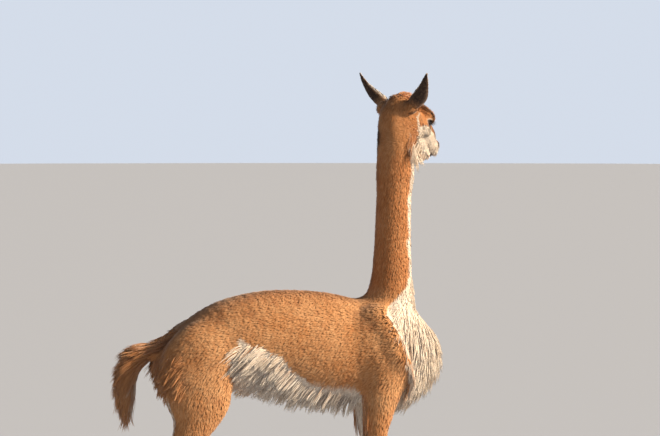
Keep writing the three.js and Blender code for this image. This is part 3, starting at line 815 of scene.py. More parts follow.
# The same markings on the skin and on every tuft: the pale, neck, crown and ear masks come from attributes,
# and a tuft also has its tip, from 0 at the root, and a tint of its own. The skin and the roots of the tufts
# are darkened with painted shade, and the dark of the ears is partly painted shade
def coatFinish(name, onSkin):
    look = Finish(name, Roughness=0.85, Specular_IOR_Level=0.18, Sheen_Weight=0.25, Sheen_Roughness=0.45)
    pale, neck = look.attribute("pale"), look.attribute("neck")
    crown, ear, bare = look.attribute("crown"), look.attribute("ear"), look.attribute("bare")
    broad = look.steps(look.noise(7, 3), 0.35, 0.68)
    fine = look.steps(look.noise(60, 3, (1, 1, 0.45)), 0.3, 0.7)
    patches = look.steps(look.noise(23, 2), 0.52, 0.75)
    c = coatColours
    fawn = look.mixed(broad * 0.55 + fine * 0.35, c["fawn"], c["fawnLight"])
    fawn = look.mixed(patches * 0.45, fawn, c["fawnDeep"])
    fawn = look.mixed(neck * 0.62, fawn, c["neck"])
    fawn = look.mixed(crown * 0.75, fawn, c["crown"])
    white = look.mixed(fine * 0.5 + 0.1 * broad, c["pale"], c["paleDeep"])
    coat = look.mixed(look.steps(pale + (fine - 0.5) * 0.25, 0.15, 0.85), fawn, white)
    # The backs of the ears: their own dark grey-brown, deepened with painted shade
    coat = look.mixed(ear, coat, c["earDarkAndShade"])
    if onSkin:
        # The skin is darkened towards this colour: painted shade in the gaps between the tufts
        coat = look.shaded(0.42, coat, c["skinPaintedShade"])
        coat = look.mixed(bare, coat, c["bare"])
        look.bump(look.noise(420, 2, (1, 1, 0.3)), 0.35, 0.002)
    else:
        tip, tint = look.attribute("tip"), look.attribute("tint")
        # Painted shade: each tuft darkens towards its root
        coat = look.shaded((1 - tip) * 0.3, coat, c["rootPaintedShade"])
        coat = look.shaded(look.steps(tint, 0.4, 1.0) * (0.2 + pale * 0.25), coat, c["lockShade"])
        coat = look.mixed((1 - look.steps(tint, 0.0, 0.5)) * 0.12, coat, c["sunBleached"])
    look.set(Base_Color=coat)
    return look.material


# Markings and the lie of the coat, as functions of a place on the skin
def wobble(p, size, seed=0.0):
    q = p / size
    return (np.sin(q[:, 0] * 1.7 + q[:, 2] * 1.1 + seed) + np.sin(q[:, 1] * 1.3 - q[:, 2] * 1.9 + 2 * seed)
            + np.sin(q[:, 0] * 0.7 + q[:, 1] * 2.1 + 3 * seed)) / 3


# Where the white of the belly ends, as [fore, up]
bellyEdge = np.array([[-300, 500], [-245, 560], [-229, 738], [-205, 735], [-172, 712], [-125, 702],
                      [-98, 688], [-52, 634], [0, 594], [100, 566], [200, 560], [260, 556]], float)

# The white cheek's upper edge as [fore, up] and its back edge as [up, fore], and the pale streak from cheek
# to ear with the half widths of its soft edge and its middle, in the head's own frame
facePale = {
    "top": np.array([[60, -44], [84, -32], [96, -24], [110, -12], [122, -3], [140, 8], [187, 16], [215, 13],
                     [245, 4]], float),
    "back": np.array([[-62, 152], [-47, 128], [-40, 103], [-25, 86], [-6, 74], [20, 70]], float),
    "streak": np.array([[38, -76, 40], [48, -74, 14], [53, -71, -8], [54, -82, -20], [52, -92, -29]], float),
    "streakHalf": (6.5, 3),
}


def trunkWhite(p, n, rough, inHead):
    side, fore, up = p[:, 0], -p[:, 1], p[:, 2]
    inTail = ease(-440, -455, fore) * ease(64, 52, np.abs(side)) * ease(500, 520, up)
    bib = ease(-9, 9, fore + rough - np.interp(up, bibEdge[:, 0], bibEdge[:, 1])) * ease(500, 560, up)
    strip = ease(36, 18, np.abs(side) + rough) * ease(-0.4, -0.75, n[:, 1])
    strip = strip * ease(850, 900, up) * (fore > 320)
    bib = np.maximum(bib, strip) * (1 - inHead * ease(-78, -58, toHead(p)[:, 2]))
    belly = ease(10, -12, up + rough * 1.5 - np.interp(fore, bellyEdge[:, 0], bellyEdge[:, 1]))
    belly = belly * ease(-250, -228, fore) * ease(500, 540, up)
    belly = belly * (1 - ease(140, 185, fore) * ease(48, 66, np.abs(side)))
    under = ease(-0.35, -0.75, n[:, 2]) * ease(480, 540, up) * (1 - ease(900, 1000, up)) * (1 - inTail)
    innerLeg = ease(600, 520, up) * ease(0.0, 0.55, -np.sign(side) * n[:, 0]) * 0.9 * (1 - inTail)
    thigh = ease(700, 640, up) * ease(62, 38, np.abs(side)) * ease(-300, -380, fore) * (1 - inTail)
    underTail = ease(-470, -500, fore) * ease(0.35, 0.9, -n[:, 1]) * 0.55
    return [bib, belly, under, innerLeg, thigh, underTail]


def headWhite(p, rough, inHead):
    local = toHead(p)
    side, fore, up = np.abs(local[:, 0]), -local[:, 1], local[:, 2]
    top = np.interp(fore, facePale["top"][:, 0], facePale["top"][:, 1])
    back = np.interp(up, facePale["back"][:, 0], facePale["back"][:, 1])
    face = ease(6, -6, up - top + rough * 0.4) * ease(-7, 7, fore - back + rough * 0.4) * inHead
    jaw = ease(-34, -44, up) * ease(34, 20, side) * ease(56, 84, fore + 0.5 * (up + 40)) * inHead
    eyeRing = 0.6 * ease(26, 12, pastLids(p)[0]) * ease(20, 30, side)
    onLeft = np.column_stack([side, local[:, 1:]])
    apart = np.full(len(p), 99.0)
    for spot in curveAt(facePale["streak"], np.linspace(0, 1, 24)):
        apart = np.minimum(apart, np.linalg.norm(onLeft - spot, axis=1))
    streak = 0.85 * ease(*facePale["streakHalf"], apart + rough * 0.15) * inHead
    return [face, jaw, eyeRing * inHead, streak]


def markings(p, n):
    up = p[:, 2]
    local = toHead(p)
    side, headFore, headUp = np.abs(local[:, 0]), -local[:, 1], local[:, 2]
    inHead = ease(1285, 1330, up) * ease(-30, 20, headFore + 0.6 * (up - 1400))
    rough = wobble(p, 22) * 7
    pale = np.maximum.reduce(trunkWhite(p, n, rough, inHead) + headWhite(p, rough, inHead))
    crown = inHead * ease(10, 34, headUp) * ease(104, 60, headFore) * ease(46, 26, side)
    crown = np.maximum(crown, 0.45 * inHead * ease(6, 26, headUp) * ease(150, 90, headFore))
    return {"pale": pale, "neck": ease(820, 930, up) * (1 - 0.5 * inHead), "crown": crown}


# The dark bare skin: lid edges, mouth line, nostrils and lip cleft
def bareness(p):
    past, far = pastLids(p)
    bare = ease(12, 5, past) * (far < 40)
    near = -toHead(p)[:, 1] > muzzleFrom
    if near.any():
        mouth, cleft, hole = faceLines(p[near])
        bare[near] = np.maximum.reduce([bare[near], 0.9 * mouth, 0.8 * cleft, np.minimum(1.6 * hole, 1)])
    return bare


def alongSkin(lie, n):
    return lie - n * np.einsum("ij,ij->i", lie, n)[:, None]


# Which way the coat lies: back and down on the trunk, down the neck and legs, and back over the face
def lieOf(p, n):
    side, fore, up = p[:, 0], -p[:, 1], p[:, 2]
    ones, zeros = np.ones(len(p)), np.zeros(len(p))
    trunk = np.column_stack([zeros, ones, -0.28 - 0.5 * ease(760, 560, up) - 0.5 * ease(-300, -420, fore)])
    chest = np.column_stack([0.1 * np.sign(side), 0.25 * ones, -ones])
    neck = np.column_stack([zeros, 0.22 * ones, -ones])
    leg = np.column_stack([zeros, 0.12 * ones, -ones])
    tail = np.column_stack([zeros, np.interp(up, [560, 650, 690], [0.1, 0.5, 1.0]),
                            np.interp(up, [600, 660, 700], [-1, -0.9, -0.2])])
    local = toHead(p)
    face = np.column_stack([local[:, 0] * 0.012, ones, -0.1 - 0.55 * ease(10, -50, local[:, 2])])
    face = face @ headTurned.T
    lie = trunk
    for way, share in ((chest, ease(250, 330, fore) * ease(860, 800, up)),
                       (neck, ease(800, 900, up)),
                       (leg, ease(620, 520, up)),
                       (tail, ease(-450, -490, fore) * ease(500, 540, up)),
                       (face, ease(1300, 1360, up) * ease(0, 30, -local[:, 1]))):
        lie = lie + (way - lie) * share[:, None]
    lie[:, 0] += 0.12 * wobble(p, 40, 2.0)
    lie[:, 2] += 0.12 * wobble(p, 33, 5.0)
    return unit(alongSkin(lie, n))


# Each part's patch of the unwrap, as (left, low, width, height), and the pieces that the coat is made in
regionPatch = {
    "trunk": (0.02, 0.54, 0.96, 0.44), "neck": (0.02, 0.03, 0.24, 0.47), "tail": (0.28, 0.03, 0.07, 0.3),
    "head": (0.37, 0.03, 0.28, 0.47), "leg0": (0.67, 0.03, 0.07, 0.47), "leg1": (0.75, 0.03, 0.07, 0.47),
    "leg2": (0.83, 0.03, 0.07, 0.47), "leg3": (0.91, 0.03, 0.07, 0.47), "ears": (0.28, 0.36, 0.07, 0.14),
}
coatPieces = [
    "shoulderLeft", "shoulderRight", "barrelLeft", "barrelRight", "rumpLeft", "rumpRight",
    "neck", "headBack", "face", "forelegLeft", "forelegRight", "hindlegLeft", "hindlegRight", "tail",
]


def bodyPart(p):
    side, fore, up = p[:, 0], -p[:, 1], p[:, 2]
    leg = np.where(fore > -60, np.where(side > 0, 0, 1), np.where(side > 0, 2, 3))
    name = np.array(["leg0", "leg1", "leg2", "leg3"])[leg].astype("<U6")
    name[up > 560] = "trunk"
    name[(up > 840) & (fore > 140)] = "neck"
    name[(up > 520) & (fore < -452) & (np.abs(side) < 60)] = "tail"
    name[(up > 1290) & (-toHead(p)[:, 1] > 4)] = "head"
    return name


# The number in coatPieces of the piece that a place belongs to
def pieceOf(p, part):
    side, fore, headFore = p[:, 0], -p[:, 1], -toHead(p)[:, 1]
    piece = np.where(fore > 130, 0, np.where(fore > -190, 2, 4)) + np.where(side > 0, 0, 1)
    piece[part == "neck"] = coatPieces.index("neck")
    piece[part == "head"] = np.where(headFore[part == "head"] > 88, coatPieces.index("face"),
                                     coatPieces.index("headBack"))
    for i in range(4):
        piece[part == "leg%d" % i] = coatPieces.index("forelegLeft") + i
    piece[part == "tail"] = coatPieces.index("tail")
    return piece


# The turn about each part's own axis and the height in its patch: a cylinder unwrap of every part.
# Near turns keep the corners of one face together where the unwrap comes round
def unwrapped(p, part, near=None):
    turn, v = np.zeros(len(p)), np.zeros(len(p))
    for name, patch in regionPatch.items():
        mine = part == name
        if not mine.any():
            continue
        side, fore, up = p[mine, 0], -p[mine, 1], p[mine, 2]
        local = toHead(p[mine])
        if name == "trunk":
            a, r = np.arctan2(side, up - 690), np.hypot(side, up - 690)
            front = 250 + (np.pi / 2 - np.arctan2(r, fore - 250)) * 130
            back = -350 - (np.pi / 2 - np.arctan2(r, -350 - fore)) * 130
            t = (np.where(fore > 250, front, np.where(fore < -350, back, fore)) + 555) / 1010
        elif name == "neck":
            a, t = np.arctan2(side, 295 - fore), (up - 820) / 680
        elif name == "tail":
            a = np.arctan2(side, up - 650 + 0.6 * (fore + 500))
            t = (700 - up - 0.5 * (fore + 470)) / 320
        elif name == "head":
            a, t = np.arctan2(local[:, 0], -local[:, 2]), -local[:, 1] / 262
        elif name == "ears":
            a, t = np.zeros(mine.sum()), np.zeros(mine.sum())
        else:
            leg = legs[int(name[3])]
            line = np.array(legStations(leg))
            axis = np.interp(up, line[::-1, 2], line[::-1, 1])
            a, t = np.arctan2(side - leg["hand"] * (legSide - 4), fore - axis), up / 640
        if near is not None:
            a = a + 2 * np.pi * np.round((near[mine] - a) / (2 * np.pi))
        turn[mine] = a
        v[mine] = patch[1] + patch[3] * np.clip(t, 0, 1)
    return turn, v


def inPatch(turn, v, part):
    left, wide = (np.array([regionPatch[name][k] for name in part]) for k in (0, 2))
    return np.column_stack([left + wide * (turn / (2 * np.pi) + 0.5), v])


# A tuft's length, width and thickness in millimetres, its lift in degrees, and tufts per square metre
tuftLook = {
    "trunk": (25, 4.6, 1.4, 8, 58000),
    "neck": (17, 3.7, 1.4, 10, 86000),
    "leg": (14, 4.5, 1.5, 9, 44000),
    "foot": (8, 3.4, 1.2, 13, 72000),
    "ruff": (11, 3.0, 1.3, 18, 195000),
    "head": (11, 3.0, 1.2, 19, 205000),
    "face": (5.5, 1.9, 0.8, 16, 350000),
    "tail": (24, 4.4, 1.8, 22, 70000),
    "brow": (14, 2.6, 1.2, 34, 230000),
}


def tuftSizes(p):
    fore, up = -p[:, 1], p[:, 2]
    local = toHead(p)
    headFore, headUp = -local[:, 1], local[:, 2]
    inHead = ease(1300, 1360, up) * ease(-10, 40, headFore)
    brow = inHead * ease(66, 84, headFore) * ease(150, 128, headFore) * ease(26, 38, headUp)
    size = np.tile(np.array(tuftLook["trunk"], float), (len(p), 1))
    for name, share in (("neck", ease(830, 940, up)),
                        ("leg", ease(600, 500, up)),
                        ("foot", ease(180, 80, up)),
                        ("tail", ease(-450, -480, fore) * ease(500, 540, up)),
                        ("head", inHead),
                        ("ruff", inHead * ease(44, 20, headFore) * ease(30, 10, headUp)),
                        ("face", inHead * ease(60, 150, headFore)),
                        ("brow", brow)):
        size = size + (np.array(tuftLook[name], float) - size) * np.clip(share, 0, 1)[:, None]
    size[:, 0] = np.minimum(size[:, 0], mix(2.6, 14, ease(6, 60, pastLids(p)[0])))  # short round the eyes
    size[:, 0] = np.minimum(size[:, 0], np.maximum(up * 0.7, 2.0))  # and clear of the floor
    size[:, 4] *= ease(2, 7, up)
    return size


def storeAttribute(mesh, name, values, kind="FLOAT", domain="POINT"):
    attribute = mesh.attributes.new(name, kind, domain)
    key = "vector" if kind in ("FLOAT_VECTOR", "FLOAT2") else "value"
    number = np.int32 if kind == "INT" else np.float32
    attribute.data.foreach_set(key, np.ascontiguousarray(values, number).ravel())


# What the coat and its finish read from the skin; an ear gives its own markings, sizes and patches
def describe(mesh, given=None):
    p, n = toModel(readVectors(mesh)), readVectors(mesh, "normal")
    marks = {**markings(p, n), "ear": np.zeros(len(p)), "bare": bareness(p), **(given or {})}
    for name in ("pale", "neck", "crown", "ear", "bare"):
        storeAttribute(mesh, name, marks[name])
    size = marks["size"] if "size" in marks else tuftSizes(p)
    storeAttribute(mesh, "lie", marks["lie"] if "lie" in marks else lieOf(p, n), "FLOAT_VECTOR")
    storeAttribute(mesh, "tuftSize", size[:, [1, 0, 2]] / 1000, "FLOAT_VECTOR")
    storeAttribute(mesh, "tuftLift", np.radians(size[:, 3]))
    storeAttribute(mesh, "tuftCount", size[:, 4] * (1 - np.clip(marks["bare"] * 2, 0, 1)))
    if given:
        storeAttribute(mesh, "piece", np.zeros(len(mesh.polygons)), "INT", "FACE")
        storeAttribute(mesh, "rootSpot", marks["patch"][cornerPoints(mesh)], "FLOAT2", "CORNER")
        return
    middles = np.empty(len(mesh.polygons) * 3, np.float32)
    mesh.polygons.foreach_get("center", middles)
    middles = toModel(middles.reshape(-1, 3))
    part = bodyPart(middles)
    storeAttribute(mesh, "piece", pieceOf(middles, part), "INT", "FACE")
    totals = np.empty(len(mesh.polygons), np.int32)
    mesh.polygons.foreach_get("loop_total", totals)
    faceOf = np.repeat(np.arange(len(mesh.polygons)), totals)
    turn, v = unwrapped(p[cornerPoints(mesh)], part[faceOf], unwrapped(middles, part)[0][faceOf])
    storeAttribute(mesh, "rootSpot", inPatch(turn, v, part[faceOf]), "FLOAT2", "CORNER")


# One tuft, a closed bent blade with its root at the origin, its tip along +Y and its top along +Z
def tuftTemplate():
    rings = [(-0.12, 0.55, -0.10), (0.42, 1.0, 0.09)]  # place, width and rise
    points = []
    for y, wide, rise in rings:
        points += [(-0.5 * wide, y, rise), (0.5 * wide, y, rise), (0.0, y, rise + 0.5 * wide)]
    points.append((0.06, 1.0, -0.02))
    faces = [(0, 1, 2), (0, 3, 4, 1), (1, 4, 5, 2), (2, 5, 3, 0), (3, 6, 4), (4, 6, 5), (5, 6, 3)]
    mesh = bpy.data.meshes.new("tuft")
    mesh.from_pydata(points, [], faces)
    turnOutwards(mesh)
    mesh.polygons.foreach_set("use_smooth", [True] * len(mesh.polygons))
    spots = np.array(points)
    flat = np.column_stack([spots[:, 0], spots[:, 1] - 0.45, spots[:, 2] * 0])
    storeAttribute(mesh, "spot", flat, "FLOAT_VECTOR")
    storeAttribute(mesh, "tip", np.clip(spots[:, 1], 0, 1))
    thing = bpy.data.objects.new("tuft", mesh)
    bpy.context.scene.collection.objects.link(thing)
    return thing


class TuftGraph(Graph):
    def __init__(self, name, inputs):
        super().__init__(bpy.data.node_groups.new(name, "GeometryNodeTree"))
        self.ids = {}
        for key, kind in inputs.items():
            self.ids[key] = self.tree.interface.new_socket(key, in_out="INPUT", socket_type=kind).identifier
        self.tree.interface.new_socket("Geometry", in_out="OUTPUT", socket_type="NodeSocketGeometry")
        outputs = self.node("NodeGroupInput").outputs
        self.given = {key: Value(self, outputs[key]) for key in inputs}

    def named(self, name, kind="FLOAT"):
        return self.value("GeometryNodeInputNamedAttribute", {"data_type": kind}, "Attribute", Name=name)

    def kept(self, geometry, name, item, kind="FLOAT", domain="POINT"):
        return self.value("GeometryNodeStoreNamedAttribute", {"data_type": kind, "domain": domain},
                          Geometry=geometry, Name=name, Value=item)

    def scaled(self, vector, amount):
        return self.value("ShaderNodeVectorMath", {"operation": "SCALE"}, _0=vector, Scale=amount)

    def added(self, first, second):
        return self.value("ShaderNodeVectorMath", {"operation": "ADD"}, _0=first, _1=second)

    def maths(self, operation, item):
        return self.value("ShaderNodeMath", {"operation": operation}, _0=item)

    def random(self, low, high, seed):
        return self.value("FunctionNodeRandomValue", {"data_type": "FLOAT"}, 1, _2=low, _3=high, Seed=seed)


growth = {
    "amount": 1.0,  # times the counts of tuftLook
    "seed": 3,
    "softness": 0.82,  # how far a tuft is shaded like the skin under it, so that the coat reads as one
    "lift": (-0.08, 0.14),  # radians past the tuft's own lift
    "twist": 0.2,
    "sizes": (0.72, 1.22),
    "patch": 0.003,  # a tuft's patch on the unwrap
}


def tuftTree():
    g = TuftGraph("tufts", {"Geometry": "NodeSocketGeometry", "Piece": "NodeSocketInt",
                            "Tuft": "NodeSocketObject", "Amount": "NodeSocketFloat", "Seed": "NodeSocketInt",
                            "Finish": "NodeSocketMaterial"})
    isPiece = g.value("FunctionNodeCompare", {"data_type": "INT", "operation": "EQUAL"},
                      _2=g.named("piece", "INT"), _3=g.given["Piece"])
    spread = g.node("GeometryNodeDistributePointsOnFaces", {"distribute_method": "RANDOM"},
                    Mesh=g.given["Geometry"], Selection=isPiece,
                    Density=g.named("tuftCount") * g.given["Amount"], Seed=g.given["Seed"]).outputs
    points = g.kept(Value(g, spread["Points"]), "rootNormal", Value(g, spread["Normal"]), "FLOAT_VECTOR")
    points = g.kept(points, "tint", g.random(0.0, 1.0, 7))
    up = g.named("rootNormal", "FLOAT_VECTOR")
    lift = g.named("tuftLift") + g.random(*growth["lift"], 11)
    ahead = g.scaled(g.named("lie", "FLOAT_VECTOR"), g.maths("COSINE", lift))
    rise = g.added(ahead, g.scaled(up, g.maths("SINE", lift)))
    turned = g.value("FunctionNodeAxesToRotation", {"primary_axis": "Y", "secondary_axis": "Z"},
                     _0=rise, _1=up)
    twist = g.random(-growth["twist"], growth["twist"], 13)
    twist = g.value("FunctionNodeAxisAngleToRotation", Axis=(0, 0, 1), Angle=twist)
    turned = g.value("FunctionNodeRotateRotation", {"rotation_space": "LOCAL"}, _0=turned, _1=twist)
    size = g.scaled(g.named("tuftSize", "FLOAT_VECTOR"), g.random(*growth["sizes"], 17))
    template = g.value("GeometryNodeObjectInfo", None, "Geometry", Object=g.given["Tuft"])
    placed = g.value("GeometryNodeInstanceOnPoints", Points=points, Instance=template, Rotation=turned,
                     Scale=size)
    real = g.value("GeometryNodeRealizeInstances", Geometry=placed)
    spot = g.scaled(g.named("spot", "FLOAT_VECTOR"), growth["patch"])
    spot = g.added(g.named("rootSpot", "FLOAT_VECTOR"), spot)
    mapped = g.kept(real, "OFBake", spot, "FLOAT2", "CORNER")
    own = g.scaled(g.value("GeometryNodeInputNormal", None, "Normal"), 1 - growth["softness"])
    under = g.scaled(g.named("rootNormal", "FLOAT_VECTOR"), growth["softness"])
    even = g.value("ShaderNodeVectorMath", {"operation": "NORMALIZE"}, _0=g.added(own, under))
    mapped = g.value("GeometryNodeSetMeshNormal", {"mode": "FREE", "domain": "POINT"}, Mesh=mapped,
                     Custom_Normal=even)
    finished = g.value("GeometryNodeSetMaterial", Geometry=mapped, Material=g.given["Finish"])
    g.node("NodeGroupOutput", _0=finished)
    return g


def coatPiece(name, base, graph, number, template, finish):
    thing = bpy.data.objects.new(name, base.data.copy())
    bpy.context.scene.collection.objects.link(thing)
    grown = thing.modifiers.new("tufts", "NODES")
    grown.node_group = graph.tree
    for key, item in (("Piece", number), ("Tuft", template), ("Amount", growth["amount"]),
                      ("Seed", growth["seed"] + number), ("Finish", finish)):
        grown[graph.ids[key]] = item
    plain = evaluatedMesh(thing)
    thing.modifiers.clear()
    bare = thing.data
    thing.data = plain
    bpy.data.meshes.remove(bare)
    plain.name = name
    for extra in ("lie", "tuftSize", "tuftLift", "tuftCount", "piece", "rootSpot", "rootNormal", "spot"):
        if extra in plain.attributes:
            plain.attributes.remove(plain.attributes[extra])
    print(name, triangles(plain))
    return thing


# Long hair: strands gathered in clumps, each a tapered three-sided blade that rises, bends and hangs
strandLook = {
    "stops": [(0.0, 0.75), (0.28, 1.0), (0.58, 0.82), (0.84, 0.45)],  # place along it and share of its width
    "lengths": (0.7, 1.15),
    "widths": (0.7, 1.25),
    "liftStray": 7,
    "rootDepth": 1.5,
    "pull": 0.7,  # how far tips are drawn to their clump's leader, where a kind of hair doesn't say
    "stray": 0.12,
}
bladeTurns = [(math.cos(math.radians(turn)), math.sin(math.radians(turn))) for turn in (90, 210, 330)]


# Places on a skin, chosen by area and weight, with the way each faces
def scatter(mesh, count, weightOf, random):
    mesh.calc_loop_triangles()
    corners = np.empty(len(mesh.loop_triangles) * 3, np.int32)
    mesh.loop_triangles.foreach_get("vertices", corners)
    corners = corners.reshape(-1, 3)
    points = toModel(readVectors(mesh))
    a, b, c = (points[corners[:, i]] for i in range(3))
    facing = unit(readVectors(mesh, "normal")[corners].sum(1))
    weight = np.linalg.norm(np.cross(b - a, c - a), axis=1) * np.clip(weightOf((a + b + c) / 3, facing), 0, 1)
    chosen = random.choice(len(corners), count, p=weight / weight.sum())
    u, v = random.random(count), random.random(count)
    u, v = np.where(u + v > 1, 1 - u, u), np.where(u + v > 1, 1 - v, v)
    place = a[chosen] + (b - a)[chosen] * u[:, None] + (c - a)[chosen] * v[:, None]
    return place, facing[chosen]


def nearestClump(place, leaders):
    tree = kdtree.KDTree(len(leaders))
    for i, spot in enumerate(leaders):
        tree.insert(spot, i)
    tree.balance()
    return np.array([tree.find(spot)[1] for spot in place])


# The way across each strand, its root, bend and tip, and the number of its clump
def strandPaths(place, normal, look, random):
    count = len(place)
    lie = look["lie"](place, normal) if "lie" in look else lieOf(place, normal)
    lie = lie + random.normal(0, look.get("stray", strandLook["stray"]), lie.shape)
    lie = unit(lie if look.get("free") else alongSkin(lie, normal))
    length = look["length"](place) if callable(look["length"]) else look["length"]
    length = length * random.uniform(*strandLook["lengths"], count)
    lift = np.radians(look["lift"] + random.normal(0, strandLook["liftStray"], count))
    rise = lie * np.cos(lift)[:, None] + normal * np.sin(lift)[:, None]
    root = place - normal * strandLook["rootDepth"]
    bend = place + rise * (length * 0.5)[:, None]
    tip = bend + lie * (length * 0.5)[:, None] + np.array([0, 0, -1]) * (length * look["droop"])[:, None]
    clump = nearestClump(place, place[:clumpCount(look)])
    pull = look.get("pull", strandLook["pull"])
    tip = tip + (tip[clump] - tip) * pull + random.normal(0, 1, tip.shape) * look["width"] * 0.5
    bend = bend + (bend[clump] + (place - place[clump]) * 0.6 - bend) * pull * 0.6
    return unit(np.cross(normal, lie)), root, bend, tip, clump


def clumpCount(look):
    return max(3, look["count"] // look["gather"])


def strands(name, base, look, finish, seed):
    random = np.random.default_rng(seed)
    count = look["count"]
    place, normal = scatter(base, count, look["where"], random)
    across, root, bend, tip, clump = strandPaths(place, normal, look, random)
    wide = look["width"] * random.uniform(*strandLook["widths"], count)
    points, spots, tips = [], [], []
    for t, share in strandLook["stops"]:
        middle = root * (1 - t) ** 2 + bend * (2 * t * (1 - t)) + tip * t * t
        way = unit(root * (t - 1) + bend * (1 - 2 * t) + tip * t)
        side = unit(alongSkin(across, way))
        out = np.cross(side, way)
        for c, s in bladeTurns:
            points.append(middle + (side * c + out * s) * (wide * share / 2)[:, None])
            spots.append((0.3 * c, t - 0.5))
            tips.append(t)
    points.append(tip)
    spots.append((0.0, 0.5))
    tips.append(1.0)
    each = len(points)
    pattern = bladeFaces(len(strandLook["stops"]))
    faces = [tuple(i * each + v for v in f) for i in range(count) for f in pattern]
    thing = meshObject(name, np.stack(points, 1).reshape(-1, 3), faces)
    mesh = thing.data
    marks = {**markings(place, normal), "ear": np.zeros(count)}
    marks.update({key: np.full(count, float(value)) for key, value in look.get("marks", {}).items()})
    for key in ("pale", "neck", "crown", "ear"):
        storeAttribute(mesh, key, np.repeat(marks[key], each))
    tint = random.random(clumpCount(look))[clump] * 0.6 + random.random(count) * 0.4
    storeAttribute(mesh, "tint", np.repeat(tint, each))
    storeAttribute(mesh, "tip", np.tile(tips, count))
    part = bodyPart(place)
    centre = inPatch(*unwrapped(place, part), part)
    corner = cornerPoints(mesh)
    layer = mesh.uv_layers.new(name="OFBake")
    spot = centre[corner // each] + np.array(spots)[corner % each] * growth["patch"]
    layer.data.foreach_set("uv", spot.astype(np.float32).ravel())
    mesh.materials.append(finish)
    print(name, triangles(mesh))
    return thing


# A three-sided blade of rings and the point that follows them
def bladeFaces(rings, first=0):
    last = first + 3 * (rings - 1)
    root = [(first, first + 2, first + 1)]
    return root + ringFaces(rings, 3, first) + [(last + j, last + (j + 1) % 3, last + 3) for j in range(3)]


def sideOf(hand, weight):
    return lambda p, n: weight(p, n) * (p[:, 0] * hand > -4)


def bibWhere(p, n):
    fore, up = -p[:, 1], p[:, 2]
    ahead = fore - np.interp(up, bibEdge[:, 0], bibEdge[:, 1])
    return ease(-8, 12, ahead) * ease(545, 580, up) * ease(840, 780, up)


def throatWhere(p, n):
    fore, up = -p[:, 1], p[:, 2]
    return ease(338, 350, fore) * ease(800, 860, up) * ease(1385, 1350, up) * (fore < 400)


def fringeWhere(p, n):
    fore, up = -p[:, 1], p[:, 2]
    edge = np.interp(fore, bellyEdge[:, 0], bellyEdge[:, 1])
    return ease(6, -8, up - edge) * ease(-215, -190, fore) * ease(205, 150, fore) * ease(-0.92, -0.7, n[:, 2])


def flankWhere(p, n):
    fore, up = -p[:, 1], p[:, 2]
    return (ease(-236, -214, fore) * ease(-128, -152, fore) * ease(560, 590, up) * ease(735, 700, up)
            * ease(55, 80, np.abs(p[:, 0])))


def tailWhere(p, n):
    fore, up = -p[:, 1], p[:, 2]
    return ease(-462, -500, fore) * (up > 520) * (np.abs(p[:, 0]) < 60)


# Hair that fills the line from the rump to the tail
def tailRootWhere(p, n):
    fore, up = -p[:, 1], p[:, 2]
    return (ease(-398, -420, fore) * ease(-500, -480, fore) * ease(690, 706, up)
            * ease(38, 24, np.abs(p[:, 0])) * ease(0.1, 0.4, n[:, 2]))


def tailRootLie(p, n):
    fall = np.interp(-p[:, 1], [-460, -400], [-0.2, -0.5])
    return np.column_stack([np.zeros(len(p)), np.ones(len(p)), fall])


def buttockWhere(p, n):
    fore, up = -p[:, 1], p[:, 2]
    return (ease(-392, -412, fore) * ease(570, 600, up) * ease(705, 680, up) * ease(16, 28, np.abs(p[:, 0]))
            * (fore > -470))


def crownWhere(p, n):
    local = toHead(p)
    fore, up = -local[:, 1], local[:, 2]
    return (ease(-16, 0, fore) * ease(66, 46, fore) * ease(14, 26, up) * ease(30, 16, np.abs(local[:, 0]))
            * (p[:, 2] > 1420))


def crownLie(p, n):
    ones = np.ones(len(p))
    return np.column_stack([0.4 * toHead(p)[:, 0] / 30, -ones * 0.75, 0.1 * ones]) @ yawOnly.T


def jawWhere(p, n):
    local = toHead(p)
    fore, up = -local[:, 1], local[:, 2]
    return (ease(66, 86, fore) * ease(218, 190, fore) * ease(-44, -54, up) * ease(-92, -76, up)
            * ease(336, 352, -p[:, 1]))


def jawLie(p, n):
    local = toHead(p)
    return np.column_stack([0.006 * local[:, 0], np.full(len(p), 0.8), -np.ones(len(p))]) @ yawOnly.T


def cheekWhere(p, n):
    local = toHead(p)
    fore, up, side = -local[:, 1], local[:, 2], np.abs(local[:, 0])
    return (ease(34, 60, fore) * ease(150, 110, fore) * ease(4, -10, up) * ease(-62, -50, up)
            * ease(18, 26, side) * (np.linalg.norm(local, axis=1) < 240))


